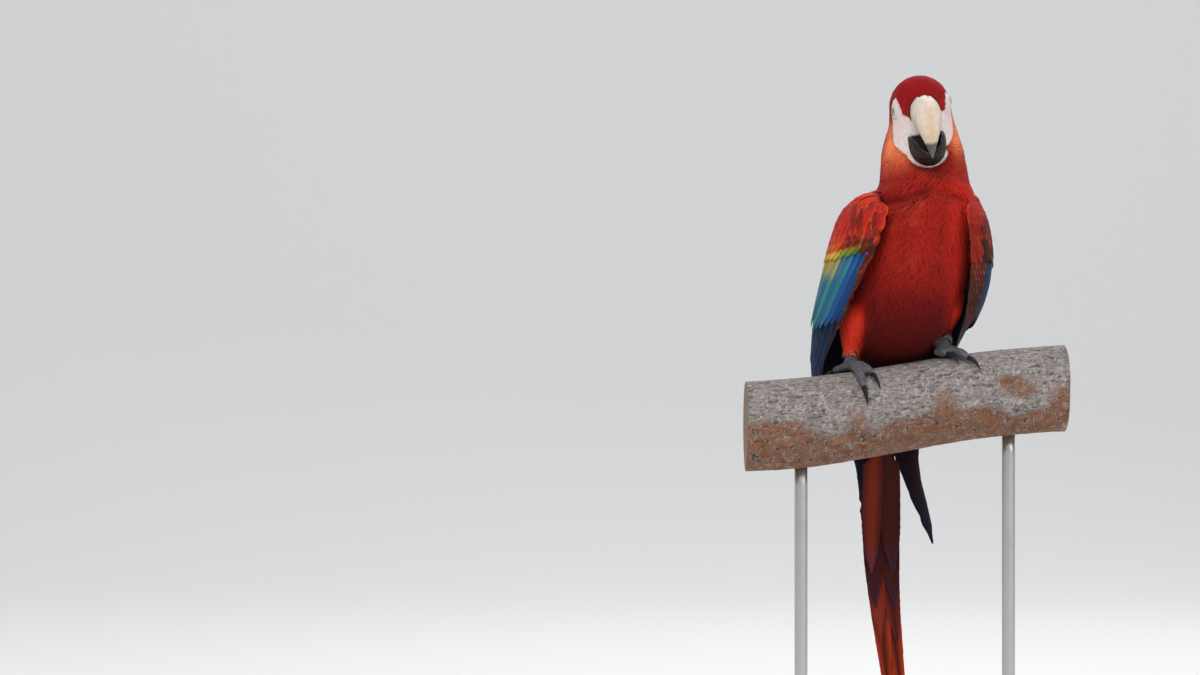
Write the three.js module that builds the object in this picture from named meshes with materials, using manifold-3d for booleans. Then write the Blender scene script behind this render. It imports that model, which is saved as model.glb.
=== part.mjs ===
// A scarlet macaw, life size, perched upright on a short cut length of branch, which two steel
// rods hold over a round base. Millimetres, +Z up, the origin at the middle of the base's underside.
//
// The bird is modelled in the perch's own frame: x to the bird's left, y from its breast (negative)
// to its back, z up from the top of the branch. One group then lifts it onto the stand.
import * as THREE from "three";
import { mergeVertices } from "three/addons/utils/BufferGeometryUtils.js";
import Module from "manifold-3d";

const wasm = await Module();
wasm.setup();

// ---------------------------------------------------------------- driving dimensions
const PERCH_HEIGHT = 540; // top of the branch above the floor, at mid length
const PERCH_SETBACK = -20; // the branch lies forward of the base's middle, to balance the tail
const GAP = 0.35; // clearance between neighbouring solids

const BRANCH_RADIUS = 48.3;
const BRANCH_END = 172; // half of the cut length, measured along x
const BRANCH_RISE = 0.115; // the branch climbs towards the bird's left
const BRANCH_BEND = 3; // height of its slow S-bend
const BRANCH_TAPER = 0.012;
const BRANCH_RINGS = 10;
const BRANCH_SIDES = 20;

const BASE_RADIUS = 180;
const BASE_THICKNESS = 12;
const BASE_BEVEL = 2;
const ROD_RADIUS = 7;
const ROD_OFFSET = 112; // each rod stands this far from the middle
const FLANGE_RADIUS = 21;
const FLANGE_HEIGHT = 6;

const EYE_RADIUS = 7;
const EYE_SET = { y: -10, z: -1 }; // the eyeballs' centres in the head's frame
const EYE_APART = 25.6; // from the head's middle plane to each eyeball's centre
const HEAD_ROLL = 9; // degrees, the bird's left eye is the higher one
const EYE_ROLL = 12.5; // the line through the eyes slopes a little more
const BILL_ROLL = 6; // the bill hangs a little straighter
const CROWN_HEIGHT = 34; // from the eye line to the top of the head
const CROWN_FLATNESS = 0.8; // 1 is round from bill to nape, less is flatter
const CROWN_TOP = 0.98; // where its last ring lies, on the way from the eye line to the pole

const TAIL_SLOPE = 13; // degrees from plumb, backwards
const TAIL_TOP = { x: -19, y: 79, z: -58 }; // where the tail feathers are rooted
const TAIL_LENGTH = 470; // the middle pair
const TAIL_STEPS = [1, 0.82, 0.68, 0.56, 0.47, 0.38]; // how the pairs shorten outwards
const TAIL_BLADE = 1.3; // thickness of a tail feather
const TAIL_HALF = 12; // half the width of a feather at its broadest
const TAIL_QUILL = 7; // the same at its root
const TAIL_FULL = 0.31; // how far down a feather reaches its full width
const TAIL_POINT = 0.45; // how far down it starts to narrow
const TAIL_BLUNT = 2.2; // 2 is an elliptical tip, more is blunter
const TAIL_SPREAD = { first: 0.5, step: 1.3 }; // a feather's offset from the middle at its root
const TAIL_SPLAY = { first: 0.1, step: 0.32 }; // and its turn outwards, in degrees
const TAIL_ROOF = 0.009; // how steeply the tail is roofed, per millimetre
const TAIL_LIFT = 6; // the uppermost feather's height over the tail's line
const TAIL_ROWS = 7;
const TAIL_BEND = { at: 170, soft: 60, lean: 0.15 }; // where it bends, over what length, how far

const CLAW_LENGTH = 19;
const CLAW_ARCH = 3; // how far a claw's middle stands off the bark
const CLAW_BASE = 0.62; // its radius where it leaves the toe, against the toe's own

// ---------------------------------------------------------------- the body's sections
// Level sections from the eye line down to the root of the tail: the middle's x, half the width,
// the foremost and hindmost y, and how far the section rolls with the tilted head.
const BODY = [
  { z: 277, x: 17, half: 33.2, front: -35, back: 50, roll: HEAD_ROLL },
  { z: 262, x: 18.4, half: 34.6, front: -33, back: 53, roll: 8 },
  { z: 250, x: 18.8, half: 38.0, front: -30.5, back: 54.5, roll: 7 },
  { z: 238, x: 19.4, half: 42.6, front: -28, back: 55, roll: 5.5 },
  { z: 226, x: 20.4, half: 45.2, front: -28.5, back: 55, roll: 4 },
  { z: 212, x: 21.4, half: 47, front: -33, back: 55.5, roll: 2 },
  { z: 196, x: 22, half: 48.8, front: -42, back: 57, roll: 0.5 },
  { z: 181, x: 21, half: 52, front: -51, back: 60, roll: 0 },
  { z: 162, x: 16.6, half: 57.5, front: -59, back: 64, roll: 0 },
  { z: 140, x: 12, half: 62, front: -64, back: 68, roll: 0 },
  { z: 112, x: 7.6, half: 64.5, front: -64.5, back: 73, roll: 0 },
  { z: 84, x: 3.8, half: 64.5, front: -59.5, back: 78, roll: 0 },
  { z: 58, x: -1, half: 61.5, front: -50.5, back: 83, roll: 0 },
  { z: 34, x: -5, half: 56, front: -37, back: 87, roll: 0 },
  { z: 14, x: -8.5, half: 48.5, front: -13, back: 91, roll: 0 },
  { z: -4, x: -11.6, half: 41, front: 24, back: 94, roll: 0 },
  { z: -22, x: -14.6, half: 35, front: 45, back: 96.5, roll: 0 },
  { z: -44, x: -17.4, half: 30, front: 58, back: 99, roll: 0 },
  { z: -72, x: -19, half: 26.5, front: 67, back: 102.5, roll: 0 },
  { z: -104, x: -19.6, half: 22.5, front: 77, back: 106, roll: 0 },
];
const BODY_SIDES = 20;
const BODY_RINGS = 23; // below the eye line
const CROWN_RINGS = 5; // above it
const EYE_LINE = BODY[0];
const TAIL_ROOT = BODY[BODY.length - 1];

// Where the body is parted: height of the cut, and how far it tips down towards the front.
const HEAD_CUT = { z: 224, tip: 14 };
const NECK_CUT = { z: 184, tip: 10 };
const TRUNK_CUT = { z: -28, tip: 0 };

// ---------------------------------------------------------------- the folded wings
// Level sections of each folded wing, wrist to tip: how far it reaches sideways from the body's
// middle, the angles of its leading and trailing edges round the body (0 at the breast, 180 at the
// back), its thickness, and how far it stands off the body's depth.
const WING_RIGHT = [
  { z: 184, reach: 52, lead: 68, trail: 126, thick: 2.5, stand: -2 },
  { z: 178, reach: 75, lead: 42, trail: 142, thick: 8, stand: 2 },
  { z: 160, reach: 86, lead: 30, trail: 148, thick: 12, stand: 4 },
  { z: 128, reach: 90.5, lead: 30, trail: 152, thick: 11, stand: 5 },
  { z: 92, reach: 94.5, lead: 37, trail: 156, thick: 9, stand: 5 },
  { z: 55, reach: 96, lead: 43, trail: 161, thick: 7, stand: 5 },
  { z: 20, reach: 94.5, lead: 49, trail: 165, thick: 6, stand: 5 },
  { z: -14, reach: 87, lead: 56, trail: 168, thick: 5.5, stand: 5 },
  { z: -48, reach: 71, lead: 66, trail: 170, thick: 5, stand: 5 },
  { z: -82, reach: 43, lead: 94, trail: 170, thick: 4.5, stand: 6 },
  { z: -118, reach: 30, lead: 122, trail: 169, thick: 4, stand: 8 },
  { z: -160, reach: 25, lead: 134, trail: 168, thick: 3.4, stand: 9 },
  { z: -190, reach: 23, lead: 143, trail: 166, thick: 2.8, stand: 9 },
  { z: -204, reach: 22, lead: 152, trail: 160, thick: 1.8, stand: 9 },
];
const WING_LEFT = [
  { z: 184, reach: 42, lead: 70, trail: 122, thick: 2.5, stand: -2 },
  { z: 178, reach: 57, lead: 50, trail: 138, thick: 7, stand: 1 },
  { z: 160, reach: 71, lead: 41, trail: 146, thick: 11, stand: 3 },
  { z: 128, reach: 83.5, lead: 41, trail: 150, thick: 10, stand: 4 },
  { z: 92, reach: 88.5, lead: 43, trail: 154, thick: 9, stand: 4 },
  { z: 55, reach: 85, lead: 49, trail: 159, thick: 7, stand: 4 },
  { z: 22, reach: 73, lead: 68, trail: 163, thick: 6, stand: 4 },
  { z: -14, reach: 67, lead: 78, trail: 166, thick: 5.5, stand: 4 },
  { z: -48, reach: 58, lead: 80, trail: 167, thick: 5, stand: 5 },
  { z: -84, reach: 47, lead: 84, trail: 162, thick: 4.5, stand: 6 },
  { z: -120, reach: 47.5, lead: 88, trail: 148, thick: 4, stand: 7 },
  { z: -160, reach: 57, lead: 92, trail: 130, thick: 3.4, stand: 8 },
  { z: -192, reach: 64, lead: 96, trail: 115, thick: 2.8, stand: 8 },
  { z: -206, reach: 67, lead: 100, trail: 105, thick: 1.8, stand: 8 },
];
const WING_RINGS = 20;
const WING_ARC = 7; // points across a wing, on each face
const WING_EDGE = 0.22; // how thick a wing's edges are, against its middle
const SHOULDER_CUT = { z: 104, tip: -8 };
const PRIMARY_CUT = { z: -24, tip: -6 };

// ---------------------------------------------------------------- the bill, in the head's frame
// x to the left, y forwards is negative, z up, from the point midway between the eyes. Each
// section of the upper bill runs from the ridge to the cutting edge.
const UPPER_BILL = [
  { ridge: [-18, 13.5], edge: [-12, -24], half: 14.5 },
  { ridge: [-33, 11], edge: [-24, -24], half: 15.6 },
  { ridge: [-45.5, 5.5], edge: [-34, -25], half: 16.4 },
  { ridge: [-57, -3], edge: [-43, -27.5], half: 16.2 },
  { ridge: [-66, -14.5], edge: [-50, -31], half: 14.2 },
  { ridge: [-70.5, -28], edge: [-55, -36.5], half: 10.8 },
  { ridge: [-70.5, -41], edge: [-59, -44], half: 6.8 },
  { ridge: [-66, -52.5], edge: [-60.5, -52], half: 3.4 },
  { ridge: [-60.5, -61], edge: [-59, -60], half: 0.9 },
];
const UPPER_SIDES = 12;
const UPPER_RINGS = 10;

// Level sections of the lower bill, a deep scoop: half the width and the foremost y.
const LOWER_BILL = [
  { z: -28.5, half: 19, front: -44 },
  { z: -35, half: 20.2, front: -52 },
  { z: -43, half: 20.2, front: -56.5 },
  { z: -51, half: 19, front: -57 },
  { z: -58, half: 16.2, front: -53.5 },
  { z: -63.5, half: 11, front: -46 },
  { z: -66.5, half: 5, front: -37 },
];
const LOWER_BACK = -12; // the lower bill's root, inside the head
const LOWER_WALL = 3.2;

// ---------------------------------------------------------------- the legs
// Thigh: level sections, top to ankle. Toes: from where they leave the foot to where the claw
// starts, as x along the branch and degrees round it (0 on top, negative towards the front).
const THIGHS = {
  right: [
    { z: 84, x: -34, y: 4, half: 26, deep: 30 },
    { z: 62, x: -44, y: 2, half: 25, deep: 30 },
    { z: 44, x: -52.5, y: 4, half: 19, deep: 25 },
    { z: 28, x: -56.5, y: 7, half: 13.2, deep: 18 },
    { z: 13, x: -57.5, y: 10, half: 9.2, deep: 11 },
  ],
  left: [
    { z: 92, x: 34, y: 4, half: 26, deep: 30 },
    { z: 72, x: 42, y: 2, half: 24, deep: 30 },
    { z: 58, x: 46.5, y: 6, half: 18, deep: 25 },
    { z: 46, x: 47, y: 15, half: 13, deep: 18 },
    { z: 34, x: 45.5, y: 24, half: 9.2, deep: 11 },
  ],
};
const FEET = {
  right: {
    sole: { x: -57, round: 4 },
    toes: {
      front_inner: { x: [-50, -38], round: [-6, -37], radius: 5.4 },
      front_outer: { x: [-56, -48], round: [-6, -55], radius: 5.9 },
      back_inner: { x: [-55, -50], round: [14, 44], radius: 4.9 },
      back_outer: { x: [-62, -76], round: [4, 22], radius: 5.2 },
    },
  },
  left: {
    sole: { x: 40, round: -4 },
    toes: {
      front_inner: { x: [35, 44], round: [-5, -20], radius: 5.6 },
      front_outer: { x: [45, 65], round: [-6, -36], radius: 5.9 },
      back_inner: { x: [42, 36], round: [12, 40], radius: 4.9 },
      back_outer: { x: [49, 60], round: [12, 32], radius: 5.2 },
    },
  },
};
const TOE_SIDES = 6;
const TOE_RINGS = 6;
const KNUCKLE_SWELL = 0.12; // how much the joints of a toe stand out
const TOE_ROOT = -0.12; // a toe starts this far back, inside the foot
const TOE_TAPER = 0.82; // its radius at the far end, against the near one
const TOE_TIP = 0.6; // and how its last ring draws in
const TARSUS_RADIUS = 7.6;
const CLAW_SIDES = 5;
const CLAW_RINGS = 4;

// A plain ring round the left shank, as kept birds wear.
const BAND = { inner: 8.7, outer: 9.9, height: 6.5, along: 0.55 };

// ---------------------------------------------------------------- materials
function finish(color, roughness, metalness = 0) {
  return new THREE.MeshStandardMaterial({ color, roughness, metalness });
}

const finishes = {
  plumage: () => finish(0xb3150f, 0.8),
  covert: () => finish(0xb3150f, 0.75),
  secondary: () => finish(0x1c5c9c, 0.7),
  primary: () => finish(0x17406f, 0.7),
  tail: () => finish(0xc8421a, 0.7),
  ivory: () => finish(0xe6d9c3, 0.35),
  black_horn: () => finish(0x1b1716, 0.35),
  eye: () => finish(0xd9d2a8, 0.1),
  foot: () => finish(0x2f2d2e, 0.6),
  bark: () => finish(0x8d7a69, 0.9),
  base: () => finish(0x2b2c2e, 0.5, 0.6),
  steel: () => finish(0xa9abad, 0.35, 0.9),
};

// ---------------------------------------------------------------- numbers and curves
const radians = THREE.MathUtils.degToRad;
const lerp = THREE.MathUtils.lerp;

// A smooth function of z through one field of a list of sections, held level past its ends.
function through(sections, field) {
  const knots = sections.map((section) => ({ z: section.z, value: section[field] }));
  knots.sort((a, b) => a.z - b.z);
  const rise = (a, b) => (b.value - a.value) / (b.z - a.z);
  const slopes = knots.map((knot, i) => {
    const before = knots[Math.max(i - 1, 0)];
    const after = knots[Math.min(i + 1, knots.length - 1)];
    return rise(before, after);
  });
  return (z) => {
    const height = THREE.MathUtils.clamp(z, knots[0].z, knots[knots.length - 1].z);
    let i = 0;
    while (i < knots.length - 2 && height > knots[i + 1].z) i += 1;
    const span = knots[i + 1].z - knots[i].z;
    const t = (height - knots[i].z) / span;
    const keep = 2 * t ** 3 - 3 * t ** 2 + 1;
    const leave = t ** 3 - 2 * t ** 2 + t;
    const arrive = t ** 3 - t ** 2;
    return (
      keep * knots[i].value +
      (1 - keep) * knots[i + 1].value +
      span * (leave * slopes[i] + arrive * slopes[i + 1])
    );
  };
}

const bodyX = through(BODY, "x");
const bodyHalf = through(BODY, "half");
const bodyFront = through(BODY, "front");
const bodyBack = through(BODY, "back");
const bodyRoll = through(BODY, "roll");

// The body's middle and half depth at any height; below its end they run on down the tail's slope.
function bodyDepth(z) {
  const below = Math.max(TAIL_ROOT.z - z, 0);
  const slide = below * Math.tan(radians(TAIL_SLOPE));
  return {
    middle: (bodyFront(z) + bodyBack(z)) / 2 + slide,
    half: (bodyBack(z) - bodyFront(z)) / 2,
  };
}

// The branch's axis at x, in the perch's frame: it climbs and bends a little.
function branchAxis(x) {
  const bend = BRANCH_BEND * Math.sin((Math.PI * x) / BRANCH_END);
  return new THREE.Vector3(x, 0, -BRANCH_RADIUS + BRANCH_RISE * x + bend);
}

// A point beside the branch: x along it, degrees round it from the top, and its distance out.
function besideBranch(x, round, distance) {
  const point = branchAxis(x);
  point.y += distance * Math.sin(radians(round));
  point.z += distance * Math.cos(radians(round));
  return point;
}

// ---------------------------------------------------------------- meshes
// Closed surface through rings of equal count, each end closed by a fan; faces are turned outward.
function loft(rings) {
  const sides = rings[0].length;
  const points = rings.flat();
  const triangles = [];
  const quad = (a, b, c, d) => triangles.push([a, b, c], [a, c, d]);
  for (let r = 0; r + 1 < rings.length; r += 1) {
    for (let i = 0; i < sides; i += 1) {
      const j = (i + 1) % sides;
      const low = r * sides;
      const high = low + sides;
      quad(low + i, low + j, high + j, high + i);
    }
  }
  const close = (first, turn) => {
    const middle = new THREE.Vector3();
    for (let i = 0; i < sides; i += 1) middle.addScaledVector(points[first + i], 1 / sides);
    points.push(middle);
    for (let i = 0; i < sides; i += 1) {
      const j = (i + 1) % sides;
      const edge = turn ? [first + j, first + i] : [first + i, first + j];
      triangles.push([...edge, points.length - 1]);
    }
  };
  const lastRing = (rings.length - 1) * sides;
  close(0, true);
  close(lastRing, false);
  return closedGeometry(points, triangles);
}

function closedGeometry(points, triangles) {
  let volume = 0;
  const across = new THREE.Vector3();
  for (const [a, b, c] of triangles) {
    volume += across.crossVectors(points[b], points[c]).dot(points[a]);
  }
  const turned = volume < 0 ? triangles.map(([a, b, c]) => [a, c, b]) : triangles;
  const geometry = new THREE.BufferGeometry();
  const flat = points.flatMap((point) => point.toArray());
  geometry.setAttribute("position", new THREE.Float32BufferAttribute(flat, 3));
  geometry.setIndex(turned.flat());
  return geometry;
}

// Closed tube along a list of points, round in section, with its own radius at each.
function taperedTube(points, radii, sides) {
  const curve = new THREE.CatmullRomCurve3(points);
  const frames = curve.computeFrenetFrames(points.length - 1, false);
  const rings = points.map((_, i) => {
    const centre = curve.getPoint(i / (points.length - 1));
    return Array.from({ length: sides }, (__, k) => {
      const turn = (2 * Math.PI * k) / sides;
      return centre
        .clone()
        .addScaledVector(frames.normals[i], radii[i] * Math.cos(turn))
        .addScaledVector(frames.binormals[i], radii[i] * Math.sin(turn));
    });
  });
  return loft(rings);
}

function bare(geometry) {
  const plain = geometry.clone();
  plain.deleteAttribute("normal");
  plain.deleteAttribute("uv");
  return mergeVertices(plain, 1e-4);
}

function solid(geometry) {
  const plain = bare(geometry);
  const mesh = new wasm.Mesh({
    numProp: 3,
    vertProperties: new Float32Array(plain.attributes.position.array),
    triVerts: new Uint32Array(plain.index.array),
  });
  return new wasm.Manifold(mesh);
}

// The largest body of a solid, as a geometry; a cut can leave slivers, which are dropped.
function surface(manifold) {
  const pieces = manifold.decompose();
  pieces.sort((a, b) => b.volume() - a.volume());
  const mesh = pieces[0].getMesh();
  const geometry = new THREE.BufferGeometry();
  const positions = new Float32Array(mesh.vertProperties);
  geometry.setAttribute("position", new THREE.BufferAttribute(positions, 3));
  geometry.setIndex(new THREE.BufferAttribute(new Uint32Array(mesh.triVerts), 1));
  return geometry;
}

// The same closed surface, moved out along its normals.
function swollen(geometry, distance) {
  const plain = bare(geometry);
  plain.computeVertexNormals();
  const { position, normal } = plain.attributes;
  for (let i = 0; i < position.count; i += 1) {
    position.setXYZ(
      i,
      position.getX(i) + distance * normal.getX(i),
      position.getY(i) + distance * normal.getY(i),
      position.getZ(i) + distance * normal.getZ(i),
    );
  }
  return plain;
}

function cutBy(geometry, ...others) {
  return others.reduce((left, other) => left.subtract(solid(swollen(other, GAP))), solid(geometry));
}

// Everything above (side 1) or below (side -1) a plane that passes through the body's middle.
function halfSpace(cut, side) {
  const size = 1200;
  const box = new THREE.BoxGeometry(size, size, size);
  box.translate(0, 0, side * (size / 2 + GAP / 2));
  box.rotateX(radians(cut.tip));
  box.translate(bodyX(cut.z), bodyDepth(cut.z).middle, cut.z);
  return solid(box);
}

function between(manifold, upperCut, lowerCut) {
  let slice = manifold;
  if (upperCut) slice = slice.intersect(halfSpace(upperCut, -1));
  if (lowerCut) slice = slice.intersect(halfSpace(lowerCut, 1));
  return surface(slice);
}

// ---------------------------------------------------------------- head, neck and trunk
function eggRing(centre, half, front, back, roll) {
  const ring = [];
  for (let k = 0; k < BODY_SIDES; k += 1) {
    const turn = (2 * Math.PI * k) / BODY_SIDES;
    const depth = Math.cos(turn) > 0 ? front : back;
    const across = half * Math.sin(turn);
    ring.push(
      new THREE.Vector3(
        centre.x + across * Math.cos(radians(roll)),
        centre.y - depth * Math.cos(turn),
        centre.z + across * Math.sin(radians(roll)),
      ),
    );
  }
  return ring;
}

function bodyRing(z) {
  const { middle, half } = bodyDepth(z);
  return eggRing(new THREE.Vector3(bodyX(z), middle, z), bodyHalf(z), half, half, bodyRoll(z));
}

// The crown is half an ellipsoid on the eye line's section, flattened and leaning with the head.
function crownRing(turn) {
  const { middle, half } = bodyDepth(EYE_LINE.z);
  const rise = CROWN_HEIGHT * Math.sin(turn);
  const centre = new THREE.Vector3(
    EYE_LINE.x - rise * Math.sin(radians(HEAD_ROLL)),
    middle,
    EYE_LINE.z + rise * Math.cos(radians(HEAD_ROLL)),
  );
  const shrink = Math.cos(turn);
  const depth = half * shrink ** CROWN_FLATNESS;
  return eggRing(centre, EYE_LINE.half * shrink, depth, depth, HEAD_ROLL);
}

function wholeBody() {
  const rings = [];
  for (let i = CROWN_RINGS; i > 0; i -= 1) {
    rings.push(crownRing((CROWN_TOP * Math.PI * i) / (2 * CROWN_RINGS)));
  }
  for (let i = 0; i <= BODY_RINGS; i += 1) {
    rings.push(bodyRing(lerp(EYE_LINE.z, TAIL_ROOT.z, i / BODY_RINGS)));
  }
  return loft(rings);
}

// ---------------------------------------------------------------- parts of the head
// From the head's frame, between the eyes, to the perch's frame, rolled by so many degrees.
function headPlace(roll) {
  return new THREE.Matrix4()
    .makeRotationY(-radians(roll))
    .setPosition(EYE_LINE.x, 0, EYE_LINE.z);
}

function eyeball(side) {
  const ball = new THREE.SphereGeometry(EYE_RADIUS, 10, 7);
  ball.translate(side * EYE_APART, EYE_SET.y, EYE_SET.z);
  return ball.applyMatrix4(headPlace(EYE_ROLL));
}

function stationAt(list, t) {
  const place = t * (list.length - 1);
  const i = Math.min(Math.floor(place), list.length - 2);
  return { from: list[i], to: list[i + 1], part: place - i };
}

// Section of the upper bill: rounded over the ridge, flatter at the cutting edges.
function upperBillRing(t) {
  const { from, to, part } = stationAt(UPPER_BILL, t);
  const ridgeY = lerp(from.ridge[0], to.ridge[0], part);
  const ridgeZ = lerp(from.ridge[1], to.ridge[1], part);
  const edgeY = lerp(from.edge[0], to.edge[0], part);
  const edgeZ = lerp(from.edge[1], to.edge[1], part);
  const half = lerp(from.half, to.half, part);
  return Array.from({ length: UPPER_SIDES }, (_, k) => {
    const turn = (2 * Math.PI * k) / UPPER_SIDES;
    const up = 0.5 + 0.5 * Math.cos(turn);
    const wide = half * Math.sign(Math.sin(turn)) * Math.abs(Math.sin(turn)) ** 0.85;
    return new THREE.Vector3(wide, lerp(edgeY, ridgeY, up), lerp(edgeZ, ridgeZ, up));
  });
}

function upperBill() {
  const rings = Array.from({ length: UPPER_RINGS + 1 }, (_, i) => upperBillRing(i / UPPER_RINGS));
  return loft(rings).applyMatrix4(headPlace(BILL_ROLL));
}

// The scoop's level section: a half round in front, straight sides running back into the head.
function scoopRing(z, half, front) {
  const ring = [];
  const arc = 7;
  for (let k = 0; k <= arc; k += 1) {
    const turn = (Math.PI * k) / arc - Math.PI / 2;
    const depth = Math.min(half * 1.25, LOWER_BACK - front - 1);
    ring.push(new THREE.Vector3(half * Math.sin(turn), front + depth * (1 - Math.cos(turn)), z));
  }
  ring.push(new THREE.Vector3(half, LOWER_BACK, z), new THREE.Vector3(-half, LOWER_BACK, z));
  return ring;
}

function scoop(shrink, lift) {
  const rings = LOWER_BILL.map((level) =>
    scoopRing(level.z + lift, Math.max(level.half - shrink, 1), level.front + shrink),
  );
  return loft(rings).applyMatrix4(headPlace(BILL_ROLL));
}

function addHead(body) {
  const upper = upperBill();
  const eyes = { right: eyeball(-1), left: eyeball(1) };
  const head = between(cutBy(body, eyes.right, eyes.left), null, HEAD_CUT);
  const lowerOuter = solid(scoop(0, 0));
  const lowerInner = solid(scoop(LOWER_WALL, LOWER_WALL));
  const lower = lowerOuter
    .subtract(lowerInner)
    .subtract(solid(swollen(body, GAP)))
    .subtract(solid(swollen(upper, 2 * GAP)));
  add("head", head, finishes.plumage());
  add("bill_upper", surface(cutBy(upper, body)), finishes.ivory());
  add("bill_lower", surface(lower), finishes.black_horn());
  add("eye_right", eyes.right, finishes.eye());
  add("eye_left", eyes.left, finishes.eye());
}

// ---------------------------------------------------------------- wings
function wingRing(side, z, at) {
  const { middle, half } = bodyDepth(z);
  const centreX = bodyX(z);
  const across = (v, inset) => {
    const turn = radians(lerp(at.lead(z), at.trail(z), v));
    const depth = half + at.stand(z) - inset;
    const reach = at.reach(z) - inset;
    return new THREE.Vector3(
      centreX + side * reach * Math.sin(turn),
      middle - depth * Math.cos(turn),
      z,
    );
  };
  const thin = (v) => at.thick(z) * lerp(WING_EDGE, 1, Math.sqrt(Math.sin(Math.PI * v)));
  const steps = Array.from({ length: WING_ARC }, (_, i) => i / (WING_ARC - 1));
  const outer = steps.map((v) => across(v, 0));
  const inner = steps.map((v) => across(v, thin(v))).reverse();
  return [...outer, ...inner];
}

function wing(side, sections) {
  const fields = ["reach", "lead", "trail", "thick", "stand"];
  const at = Object.fromEntries(fields.map((field) => [field, through(sections, field)]));
  const top = sections[0].z;
  const tip = sections[sections.length - 1].z;
  const rings = [];
  for (let i = 0; i <= WING_RINGS; i += 1) {
    rings.push(wingRing(side, lerp(top, tip, (i / WING_RINGS) ** 1.3), at));
  }
  return loft(rings);
}

function addWing(name, side, sections, neighbours) {
  const whole = cutBy(wing(side, sections), ...neighbours);
  add(`wing_${name}_shoulder`, between(whole, null, SHOULDER_CUT), finishes.covert());
  const middle = between(whole, SHOULDER_CUT, PRIMARY_CUT);
  add(`wing_${name}_secondaries`, middle, finishes.secondary());
  add(`wing_${name}_primaries`, between(whole, PRIMARY_CUT, null), finishes.primary());
}

// ---------------------------------------------------------------- tail
const tailDown = new THREE.Vector3(0, Math.sin(radians(TAIL_SLOPE)), -Math.cos(radians(TAIL_SLOPE)));
const tailBack = new THREE.Vector3(0, Math.cos(radians(TAIL_SLOPE)), Math.sin(radians(TAIL_SLOPE)));

// The tail hangs straight at first and then bends towards the bird's left.
function tailSway(along) {
  const past = along - TAIL_BEND.at;
  return (TAIL_BEND.lean * (past + Math.hypot(past, TAIL_BEND.soft))) / 2;
}

// A long tapering blade in the tail's plane: `pair` counts outwards from the middle pair, and the
// outer feathers lie in front of the inner ones.
function tailFeather(side, pair) {
  const length = TAIL_LENGTH * TAIL_STEPS[pair];
  const splay = Math.tan(radians(side * (TAIL_SPLAY.first + TAIL_SPLAY.step * pair)));
  const offset = side * (TAIL_SPREAD.first + TAIL_SPREAD.step * pair);
  const layer = TAIL_LIFT - (pair * 2 + (side > 0 ? 0 : 1)) * (TAIL_BLADE + GAP);
  const rings = [];
  for (let i = 0; i <= TAIL_ROWS; i += 1) {
    const t = i / TAIL_ROWS;
    const along = t * length;
    const swell = lerp(TAIL_QUILL, TAIL_HALF, Math.min(t / TAIL_FULL, 1));
    const point = Math.max(t - TAIL_POINT, 0) / (1.002 - TAIL_POINT);
    const half = swell * Math.sqrt(1 - point ** TAIL_BLUNT);
    const middle = offset + along * splay;
    const roof = (x) => -TAIL_ROOF * (middle + x) ** 2;
    const corner = (x, face) =>
      new THREE.Vector3(TAIL_TOP.x + middle + x + tailSway(along), TAIL_TOP.y, TAIL_TOP.z)
        .addScaledVector(tailDown, along)
        .addScaledVector(tailBack, layer + roof(x) + face * TAIL_BLADE);
    rings.push([
      corner(-half, 0),
      corner(0, 0),
      corner(half, 0),
      corner(half, 0.8),
      corner(0, 1),
      corner(-half, 0.8),
    ]);
  }
  return loft(rings);
}

// ---------------------------------------------------------------- legs
function thigh(name) {
  const rings = THIGHS[name].map((level) => {
    const centre = new THREE.Vector3(level.x, level.y, level.z);
    return eggRing(centre, level.half, level.deep, level.deep, 0);
  });
  return loft(rings);
}

function toePath(toe, from, to, rings, lift) {
  return Array.from({ length: rings + 1 }, (_, i) => {
    const t = lerp(from, to, i / rings);
    const x = lerp(toe.x[0], toe.x[1], t);
    const round = lerp(toe.round[0], toe.round[1], t);
    return besideBranch(x, round, BRANCH_RADIUS + lift(i / rings));
  });
}

// A toe swells at every other ring, where its joints and pads are, and narrows to its end.
function toeTube(toe) {
  const lift = toe.radius * (1 + KNUCKLE_SWELL) + GAP;
  const points = toePath(toe, TOE_ROOT, 1, TOE_RINGS, () => lift);
  const radii = points.map((_, i) => {
    const swell = i % 2 ? 1 - KNUCKLE_SWELL / 2 : 1 + KNUCKLE_SWELL;
    const end = i === TOE_RINGS ? TOE_TIP : 1;
    return toe.radius * swell * end * lerp(1, TOE_TAPER, i / TOE_RINGS);
  });
  return taperedTube(points, radii, TOE_SIDES);
}

// A claw arches off the end of its toe and comes down to a point on the bark.
function claw(toe) {
  const toeArc = radians(Math.abs(toe.round[1] - toe.round[0])) * BRANCH_RADIUS;
  const reach = CLAW_LENGTH / Math.hypot(toe.x[1] - toe.x[0], toeArc);
  const arch = (t) => lerp(toe.radius, 1.2, t ** 1.4) + CLAW_ARCH * Math.sin(Math.PI * t);
  const points = toePath(toe, 1, 1 + reach, CLAW_RINGS, arch);
  const radii = points.map((_, i) => lerp(toe.radius * CLAW_BASE, 0.5, (i / CLAW_RINGS) ** 1.2));
  return taperedTube(points, radii, CLAW_SIDES);
}

// The shank's line, from inside the thigh's feathers to the sole.
function shankLine(name) {
  const { sole } = FEET[name];
  const ankle = THIGHS[name][THIGHS[name].length - 1];
  const top = new THREE.Vector3(ankle.x, ankle.y + 2, ankle.z + 5);
  const low = besideBranch(sole.x, sole.round, BRANCH_RADIUS + TARSUS_RADIUS * 0.75);
  return new THREE.LineCurve3(top, low);
}

function tarsus(name) {
  const scales = [0.9, 0.96, 1.06, 1.05];
  const line = shankLine(name);
  const points = scales.map((_, i) => line.getPoint(i / (scales.length - 1)));
  const radii = scales.map((scale) => scale * TARSUS_RADIUS);
  return taperedTube(points, radii, TOE_SIDES + 2);
}

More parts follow.
